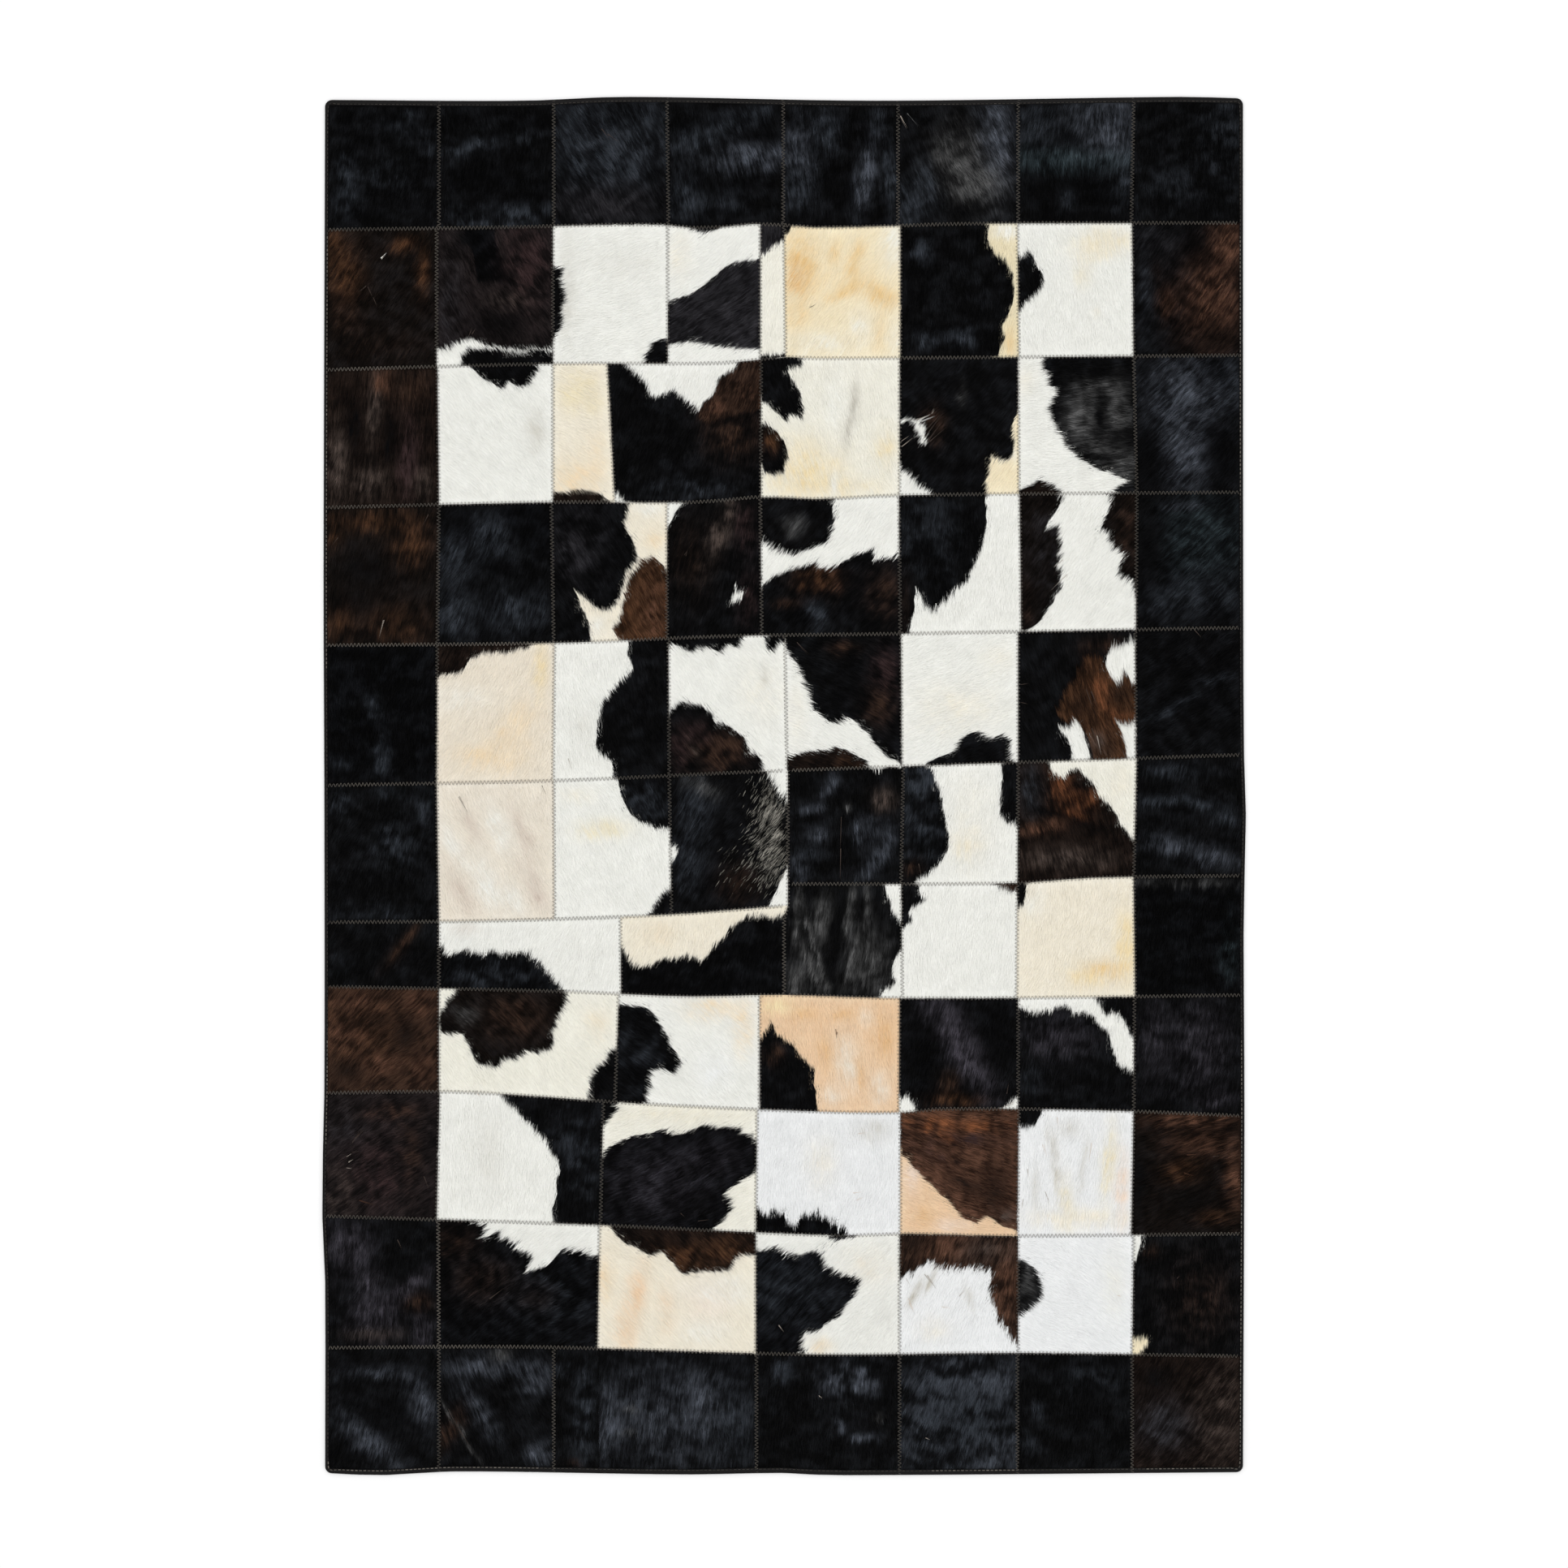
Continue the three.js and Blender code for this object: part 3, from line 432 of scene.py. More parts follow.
PATCHES["strip_06_left"] = [
    patch("black", 255, lights=[("slate", 1.9, 15.7, 1.3, 1.9, 0.9), ("slate", 9.2, 16.7, 2.1, 0.9, 0.6),
        ("slate", 13.2, 14.8, 1.1, 1.9, 0.6), ("slate", 9.2, 10, 2.3, 2.8, 0.6),
        ("slate", 7.1, 1.3, 5.3, 1.1, 0.4)]),
    patch("shell", 300, lights=[("mink", 4.4, 12.5, 0.8, 2.8, 0.6, 28), ("mink", 11, 11.5, 1, 3.4, 0.6, 25),
        ("mink", 12.6, 4.6, 1.2, 3.4, 0.8, 25), ("mink", 3, 4, 1.6, 3.4, 0.5, 25),
        ("white", 8, 12, 1.4, 3.4, 0.7, 25), ("white", 6.5, 5, 1.6, 4, 0.7, 25),
        ("white", 10, 2.6, 1.2, 2.4, 0.7, 20), ("white", 2, 10, 1, 3.4, 0.6, 25)],
        strands=[("ash", 2.8, 16.2, 4.1, 13.8), ("ash", 13.6, 17.6, 14.3, 16.3)]),
    patch("white", 300, spots=[
        ("black", [(7.9, 20), (8.4, 17.7), (9, 15.7), (9.8, 13.6), (11.3, 12.5), (12.9, 11.8), (16.8, 11.9),
            (16.8, 20)]),
        ("black", [(11.8, -1.6), (12.4, 0.3), (13.7, 2.2), (14.9, 3.8), (16.8, 4.8), (16.8, -1.6)])],
        lights=[("slate", 12.6, 15, 3, 2.4, 0.7), ("straw", 6.3, 11.5, 3.2, 1.3, 0.7),
            ("cream", 2.9, 15.8, 2.5, 1.3, 0.4)]),
    patch("black", 240, fringe=1.6, brushed=True, spots=[
        ("white", [(12.5, 20), (13.1, 17.5), (14.2, 15.4), (15.5, 14.3), (17.2, 14.2), (17.2, 20)]),
        ("white", [(17.2, 7.6), (15.4, 6.1), (14.5, 3.9), (13.6, 2.1), (12.7, -0.3), (12.5, -1.6),
            (17.2, -1.6)]),
        ("white", [(-1, 8.7), (0.3, 8.3), (0.8, 7.2), (0.2, 6.1), (-1, 5.7)])],
        lights=[("slate", 3.2, 12.3, 2.1, 4.7, 0.8), ("slate", 2.4, 5, 1.7, 2.8, 0.7),
            ("umber", 9.1, 3.6, 2.5, 2.3, 0.5), ("grizzle", 12.8, 12.6, 1.9, 4.6, 0.65),
            ("grizzle", 13.6, 7.4, 1.9, 4, 0.55), ("grizzle", 10.6, 6, 2.6, 3, 0.14),
            ("grey", 4.2, 16.1, 2.1, 0.9, 0.5, -20)]),
]

PATCHES["strip_06_right"] = [
    patch("black", 270, brushed=True, spots=[
        ("white", [(9.6, 16), (16, 16.5), (16, 15), (12.6, 15.3), (12, 14.6), (11, 15.3)])],
        lights=[("steel", 3, 9.8, 1.7, 0.5, 0.8, 10), ("steel", 5.7, 12.9, 0.7, 1.5, 0.8, -30),
            ("steel", 4, 6.5, 1.1, 0.9, 0.8), ("steel", 9.2, 6.8, 0.6, 1.3, 1),
            ("steel", 11.7, 3, 0.9, 2.5, 1, -40), ("ash", 12.7, 11.1, 1.5, 1.3, 0.9),
            ("steel", 10.6, 6.8, 1.7, 1.7, 0.6), ("steel", 1.4, 2.3, 1.1, 1.7, 0.6),
            ("grey", 7.8, 10, 0.4, 0.5, 1), ("slate", 3.1, 4, 1.5, 0.9, 0.5),
            ("steel", 13.4, 6.1, 0.9, 1.5, 0.6)],
        strands=[("ash", 7, 8.7, 6.9, 4.5), ("ash", 6.9, 4.6, 6.8, 0.3)]),
    patch("white", 265, spots=[
        ("black", [(-1, 17.5), (3.6, 17.5), (3.8, 15), (4.8, 12.8), (5.8, 8), (6.1, 5.6), (4.9, 2.6),
            (2.6, 0.8), (1.4, 0), (1, -1.5), (-1, -1.5)]),
        ("black", [(12.7, 17.5), (13.1, 14.5), (12.9, 12.3), (12.8, 8.8), (13.8, 7.9), (16.6, 6.9),
            (16.6, 17.5)])],
        lights=[("slate", 2.3, 13.2, 3, 3, 0.7), ("slate", 2.8, 6.4, 3, 3, 0.6), ("cream", 9, 8, 3, 6, 0.3),
            ("umber", 1.6, 2, 1.1, 0.9, 1), ("custard", 8.3, 5, 1.9, 2.1, 0.3)],
        strands=[("ash", 2.1, 2.6, 2.5, 0.8)]),
    patch("dark_brown", 285, brushed=True, spots=[
        ("ivory", [(3.7, 17.5), (4.1, 15), (5.1, 13.5), (6.1, 13), (6.8, 14), (7.6, 14.5), (9.7, 12.5),
            (10.6, 10.8), (12.6, 9.1), (13.4, 7.4), (15, 5.1), (17, 3.7), (17, 17.5)])],
        lights=[("slate", 1.8, 11.5, 1.6, 3.2, 0.7), ("rust", 5.6, 12.4, 1.3, 2.1, 0.9),
            ("rust", 8.6, 10.4, 2, 1.1, 0.9), ("chestnut", 3.4, 6.8, 2.8, 0.8, 0.9, 12),
            ("rust", 7.4, 8.4, 2, 0.7, 0.7, -15), ("jet", 8.1, 12.1, 1.1, 0.5, 0.8),
            ("jet", 4.2, 8.7, 3.4, 0.6, 1, -20), ("jet", 9.9, 6.8, 2.8, 0.8, 0.9, -10),
            ("ash", 6.5, 2.5, 5.7, 1.5, 0.8), ("cream", 13.3, 12.4, 1.3, 2.5, 0.5)]),
    patch("black", 260, brushed=True, lights=[("slate", 4.7, 13.8, 3.8, 0.8, 0.8),
        ("slate", 3.4, 10, 2.8, 0.7, 0.8), ("slate", 8.8, 9.3, 2.8, 0.6, 0.8, -12),
        ("slate", 12, 7.5, 1.9, 0.8, 0.8, -10), ("steel", 4.7, 4, 3.4, 1.2, 0.6, -8),
        ("steel", 10.1, 2.6, 3.8, 1.2, 0.5, -12)]),
]

PATCHES["strip_07_left"] = [
    patch("black", 250, lights=[("dark_brown", 9.9, 5.2, 3.4, 0.9, 1, 52),
        ("umber", 10.7, 6.2, 2.8, 0.4, 0.7, 52), ("slate", 2.7, 2.9, 1.5, 1.1, 0.4)]),
    patch("white", 75, fringe=1.4, spots=[
        ("black", [(-1, 6.5), (0.1, 5.6), (1.4, 4.7), (2.5, 5.1), (4.7, 4.9), (6.1, 4.2), (6.4, 5.2),
            (9.8, 4.7), (10.9, 5.2), (12.5, 4), (14.1, 2.7), (15.5, 1), (17, -1.6), (-1, -1.6)])],
        lights=[("slate", 6, 2.4, 7, 2.2, 0.5), ("white", 19, 5.3, 4.2, 3.2, 0.8),
            ("mink", 3.6, 8.1, 1.7, 0.9, 0.4)]),
    patch("cream", 70, fringe=1.7, spots=[
        ("black", [(-1, 7.2), (0.2, 6), (1, 5), (2.5, 3.8), (4.4, 4.4), (8.2, 5.3), (10.6, 4.6),
            (11.7, 5.9), (14.1, 8.7), (16.8, 10.5), (19.6, 10.3), (23.4, 11.6), (23.4, -1.6), (-1, -1.6)])],
        lights=[("peach", 4.9, 8.1, 2.1, 1.5, 0.4)]),
]

PATCHES["strip_07_right"] = [
    patch("black", 262, length=1.2, brushed=True, fringe=1.6, spots=[
        ("white", [(12.8, 16.5), (13.1, 14.6), (13.7, 12.7), (15, 10), (17, 9.1), (17, 16.5)]),
        ("white", [(17, 6.6), (14.6, 5.4), (14.1, 3.5), (14.7, 2.1), (13.7, 1.2), (12.5, 0.2), (12.5, -1.6),
            (17, -1.6)])],
        lights=[("grey", 1.7, 10.4, 0.5, 3.6, 1, -4), ("grey", 3.5, 4, 0.6, 3.4, 1, 22),
            ("grey", 5, 9.9, 1.1, 3, 1, -6), ("grey", 8.6, 11.4, 0.5, 3.2, 0.9, -6),
            ("grey", 10.8, 12.5, 0.5, 2.3, 0.6), ("grey", 10.9, 4.5, 2.5, 4.3, 0.8),
            ("grey", 1.7, 2.1, 1.3, 1.9, 0.8), ("black", 3.6, 9.3, 0.4, 3.2, 1, 18),
            ("black", 6.8, 7.2, 0.5, 5.4, 1, -8), ("black", 10.1, 10.4, 0.4, 2.1, 1),
            ("black", 9.9, 1.7, 0.5, 1.5, 0.8, 30), ("grey", 4.3, 6, 0.4, 6, 1, 16),
            ("grey", 9, 5, 0.45, 5, 0.9, -18), ("jet", 6.6, 9, 1, 4, 0.9), ("jet", 12.6, 9, 0.8, 4, 0.6)]),
    patch("white", 262, spots=[
        ("black", [(-1, 16.6), (3.1, 16.6), (2.3, 13.9), (3.3, 12.7), (1.7, 12), (1, 11.2), (1.4, 9.9),
            (0.7, 9.3), (-1, 9.1)]),
        ("umber", [(11, 16.6), (11.5, 14.9), (13, 14.4), (15, 13.6), (16.8, 13.2), (16.8, 16.6)])]),
    patch("cream", 258, spots=[
        ("black", [(-1, 16.6), (1.3, 16.6), (1, 13.3), (0.6, 11.6), (-1, 11.2)])],
        lights=[("custard", 14.4, 6.7, 1.5, 4.2, 0.9), ("gold", 11.4, 3.4, 2.5, 1.3, 0.9),
            ("custard", 9.1, 2.5, 2.5, 1.5, 0.6), ("white", 2.2, 12.5, 1.7, 2.1, 0.5)]),
    patch("jet", 262, lights=[("grey", 5.6, 14.7, 5.3, 0.5, 0.6), ("teal", 12.5, 5.9, 1.1, 3.2, 0.4)]),
]

PATCHES["strip_08"] = [
    patch("umber", 225, length=1.2, brushed=True, lights=[("brown", 5, 8, 8, 6, 0.4),
        ("dark_brown", 10.6, 7.8, 1.9, 2.8, 0.9), ("chestnut", 2.6, 7.4, 2.6, 1.6, 1),
        ("chestnut", 4.6, 11.6, 3, 1.2, 0.8), ("chestnut", 12.2, 11.6, 1.8, 1.6, 0.8),
        ("chestnut", 7.4, 3.6, 2.6, 1.2, 0.8), ("dark_brown", 3.2, 3, 2.6, 1.5, 0.8),
        ("dark_brown", 7, 9.6, 2, 0.9, 0.6), ("chestnut", 13, 3, 1.4, 2, 0.7)]),
    patch("ivory", 315, spots=[
        ("sable", [(2.2, 16), (2.2, 13.4), (1.2, 12.5), (0.3, 11), (0.1, 8.8), (0.8, 8), (2.7, 8.2),
            (4.1, 6.3), (5, 4.3), (7.7, 3.8), (8.6, 4.7), (10, 4.6), (11.3, 5.6), (12.9, 5.6), (15, 6.6),
            (15.1, 8.6), (15.9, 10.7), (16.8, 12.4), (16.8, 16)]),
        ("black", [(24.6, 7.1), (22.9, 5.8), (21, 4), (20.2, 2.7), (19.6, 0.5), (19.5, -1.6),
            (24.6, -1.6)])],
        lights=[("umber", 10, 10.4, 3.8, 2.5, 0.8), ("grey", 3.6, 10.6, 1.5, 1.3, 0.3),
            ("peach", 20.7, 9.5, 1.7, 2.1, 0.3)],
        strands=[("dark_brown", 4.7, 0.6, 5, 0.2), ("mink", 5.1, 0.3, 5.4, 0)]),
    patch("white", 320, spots=[
        ("black", [(-1, 13.6), (0.2, 13.3), (3.2, 12.9), (4.3, 12.5), (6.1, 10), (6.8, 8.2), (8.4, 5.9),
            (7.5, 4.1), (6.5, 4.8), (4.8, 4.6), (4.5, 3.1), (3.2, -1.6), (-1, -1.6)])],
        lights=[("peach", 12.6, 12.9, 3.6, 1.7, 0.6), ("peach", 16.7, 10.7, 1.5, 3.4, 0.6),
            ("slate", 3, 7, 3.4, 5, 0.35), ("cold_white", 12.7, 4.6, 2.5, 2.8, 0.6)]),
    patch("tan", 275, spots=[
        ("black", [(-1, 7.2), (-0.1, 8.7), (0.7, 10.7), (1.6, 11.8), (2.3, 10.4), (4, 8.8), (5.6, 7.2),
            (7.2, 5.3), (7.2, 3.5), (8, -1.6), (-1, -1.6)])],
        lights=[("umber", 2, 7.4, 1.3, 1.3, 0.8), ("amber", 11, 12.5, 1.6, 0.8, 0.6),
            ("amber", 16.4, 10, 1.4, 3, 0.6), ("amber", 6.1, 12.6, 2.2, 0.9, 0.5),
            ("shell", 11.4, 6.6, 1.8, 3.4, 0.9, 10), ("custard", 2.5, 13.8, 2.5, 1.1, 0.8),
            ("amber", 8.6, 7.6, 0.9, 2.4, 0.5, 5), ("shell", 15.6, 3, 1.6, 2.3, 0.7),
            ("shell", 9.6, 2, 1.6, 1.6, 0.6), ("amber", 13.4, 5, 0.7, 2.6, 0.5, 8),
            ("shell", 14, 12.4, 1.1, 1.2, 0.5)],
        strands=[("umber", 10, 10.8, 10.1, 9.6), ("umber", 10.1, 10.5, 10, 9.4)]),
    patch("black", 255, brushed=True, spots=[
        ("white", [(-1.2, 2), (0.2, 1.4), (1.7, 0.9), (2.5, -1.6), (-1.2, -1.6)]),
        ("white", [(13.2, -0.3), (14.5, 0.6), (15.6, 1.4), (17, 1.8), (17, -1.6), (13.2, -1.6)])],
        lights=[("violet", 8.2, 8.3, 7, 1.8, 1, -60), ("violet", 5.6, 13, 2, 1.6, 0.7),
            ("jet", 3, 7, 2, 4, 0.8), ("jet", 12.8, 10, 2, 5, 0.8), ("umber", 6.6, 3.2, 1.3, 1.5, 0.9),
            ("brown", 7.4, 1.2, 3, 0.8, 0.8)],
        strands=[("pale", 15, 0.8, 13.4, 0.2), ("ash", 14, 2, 14.3, 3.4)]),
    patch("black", 262, brushed=True, spots=[
        ("white", [(-1, 16.2), (-0.4, 14), (0.9, 13), (4.1, 12.9), (5.5, 13.5), (8, 12.6), (9.5, 12.1),
            (10.7, 11), (11.8, 9.8), (12.3, 8.3), (13, 6.1), (13.8, 5.3), (15.1, 5.3), (16.8, 5.9),
            (16.8, 8.8), (15.1, 9.4), (13.8, 11.7), (12.6, 12.6), (11.4, 12.4), (10.6, 13.5), (9.6, 16.6),
            (-1, 17)])],
        lights=[("violet", 5.2, 9.4, 4, 2.5, 0.5), ("slate", 1.7, 4, 1.3, 2.1, 0.3)]),
    patch("black", 262, brushed=True, lights=[("violet", 8.8, 8.8, 3.2, 5.3, 0.45),
        ("violet", 3, 9.9, 2.1, 5.3, 0.3), ("violet", 10.9, 1.9, 2.1, 1.1, 0.5)]),
]

PATCHES["strip_09"] = [
    patch("dusk", 215, lights=[("plum", 7.1, 6.5, 4, 4.7, 0.9), ("soot", 3, 12, 4, 3, 0.4),
        ("ash", 2.2, 3.3, 2.3, 3.2, 0.3), ("chestnut", 8.6, 13.9, 3.2, 0.9, 0.4),
        ("umber", 11.6, 8.6, 1.5, 4.7, 0.5)],
        strands=[("pale", 3.4, 7.3, 4, 7.6), ("pale", 3.1, 8, 3.8, 8.4), ("ash", 3.9, 8.6, 5, 8.8),
            ("pale", 3.1, 6.5, 3.9, 6.5), ("ash", 3.9, 9.9, 5.4, 12), ("ash", 4.3, 10.3, 5.6, 11.6),
            ("ash", 13.3, 5.4, 13.9, 3.7), ("ash", 1.2, 1.6, 2.2, 2.2), ("chestnut", 4.8, 2.2, 7.1, 1.6)]),
    patch("white", 265, spots=[
        ("black", [(7.2, 18.8), (8.1, 16.8), (9.6, 15), (12.1, 12.5), (13.8, 10.8), (15, 8.7), (15.9, 6.7),
            (15.4, 5.7), (15.5, 3.6), (15, 1.9), (15.4, -1.6), (23.2, -1.6), (23.2, 18.8)])],
        lights=[("dirty", 6.3, 9.2, 2.1, 4.2, 0.25), ("slate", 18.6, 9, 3, 7, 0.35)]),
    patch("ivory", 25, fringe=2.0, brushed=True, spots=[
        ("black", [(-1, 18.5), (1.9, 18.5), (1.6, 15), (0.2, 13), (-1, 12.4)]),
        ("black", [(-1, 9), (0.2, 10), (1.5, 10.9), (5.2, 12.4), (7.8, 12.8), (10, 12.5), (13, 13.4),
            (18.4, 12.9), (20, 11.8), (22, 11), (22, 7.9), (20, 7.3), (17.9, 6), (15.9, 4.5), (17, 3.6),
            (16.3, 2), (14.7, -0.3), (14.3, -1.6), (-1, -1.6)])],
        lights=[("violet", 7, 6, 6, 4.6, 0.3), ("violet", 15, 9.4, 4, 2.6, 0.25),
            ("custard", 10, 15, 8, 1.2, 0.15)],
        strands=[("ash", 10.3, 2.1, 10.9, 1.4), ("ash", 12.6, 1, 14.1, 1.2)]),
    patch("cold_white", 85, fringe=1.8, spots=[
        ("black", [(-1.2, 4.6), (0.2, 3.6), (1.3, 2.7), (2.7, 3.4), (4, 2.1), (5.1, 1.5), (5.9, 2.7),
            (8.3, 3), (9.5, 1.8), (11.9, 0.4), (13.7, -1.6), (-1.2, -1.6)])],
        lights=[("cream", 8.4, 9.6, 1.9, 3.2, 0.5), ("dirty", 15.3, 13.7, 2.5, 1.5, 0.4),
            ("cold_white", 5.2, 6.5, 1.5, 2.1, 0.5)],
        strands=[("mink", 12.6, 5.6, 13.9, 5.7), ("mink", 13.1, 4.6, 14.1, 5),
            ("mink", 13.3, 13.3, 14.7, 13.5)]),
    patch("chestnut", 345, spots=[
        ("tan", [(-1.4, 12.5), (0.1, 10.7), (4.3, 6.2), (6.5, 4.3), (8.4, 2.2), (10.1, 1.5), (11.5, 2.4),
            (13, 1.3), (15.6, 0.4), (17, -1.7), (-1.4, -1.7)])],
        lights=[("rust", 4, 14.4, 4, 1.1, 0.9), ("rust", 11, 14.2, 3.6, 0.9, 0.9),
            ("plum", 8.4, 12.4, 6, 0.8, 0.7), ("plum", 4.4, 10.4, 3, 1, 0.5, -20),
            ("dark_brown", 12.4, 6.2, 2.4, 3.6, 0.8), ("dark_brown", 8.6, 6.6, 2.6, 1, 0.8, -30),
            ("rust", 6, 12.6, 1.6, 0.6, 0.6, -30), ("black", 7.6, 9.6, 0.5, 0.5, 1),
            ("black", 7, 11.8, 0.6, 0.4, 0.8), ("blush", 1.4, 7.6, 1.1, 2.8, 0.8),
            ("amber", 3.3, 2.3, 1.1, 1.3, 0.6), ("blush", 7, 1.2, 2.4, 1, 0.7),
            ("ash", 14, 2.6, 1.5, 1, 0.6)]),
    patch("cold_white", 262, spots=[
        ("black", [(-1.4, 17.6), (3.3, 17.6), (2.9, 15.5), (2, 14.2), (0.3, 14.4), (-1.4, 14.5)])],
        lights=[("dirty", 4.8, 9.6, 0.6, 4.4, 0.6, 8), ("straw", 11.9, 10, 1, 4.4, 0.9, -6),
            ("dirty", 8.6, 9.4, 0.5, 4, 0.45, -8), ("straw", 6.4, 4, 1, 3.4, 0.5, 5),
            ("blush", 13.6, 6, 0.9, 4.4, 0.9), ("dirty", 2.3, 6, 0.5, 3.4, 0.45),
            ("cream", 8, 2.3, 6.4, 1.3, 0.8), ("dirty", 6.9, 14, 1.5, 1.2, 0.4)],
        strands=[("mink", 5.1, 15.5, 5.2, 14.2), ("pale", 1.2, 8.7, 1.4, 7.4), ("pale", 3.5, 5.7, 4.1, 4.2),
            ("pale", 3.9, 4.9, 4, 3.8), ("mink", 9.6, 12.1, 9.2, 9.5), ("pale", 0.7, 4.7, 0.5, 3.4),
            ("mink", 3.3, 11.9, 3.7, 10.2)]),
    patch("sable", 200, length=1.3, brushed=True, lights=[("chestnut", 8, 15.2, 6, 1.2, 0.9),
        ("chestnut", 9.4, 11.9, 4, 1.6, 0.8), ("chestnut", 13.4, 7.2, 1.1, 3.8, 1),
        ("brown", 6.6, 8.4, 2.2, 1.4, 0.8), ("black", 0.8, 6.5, 1.3, 4.7, 0.9),
        ("black", 7.7, 4.3, 3.6, 1.9, 0.6), ("brown", 10.6, 2.2, 2, 1, 0.5)],
        strands=[("chestnut", 7.1, 10.3, 8.6, 10.5), ("chestnut", 6.7, 8, 8, 7.7),
            ("ash", 10.5, 10.1, 11.3, 10.3)]),
]

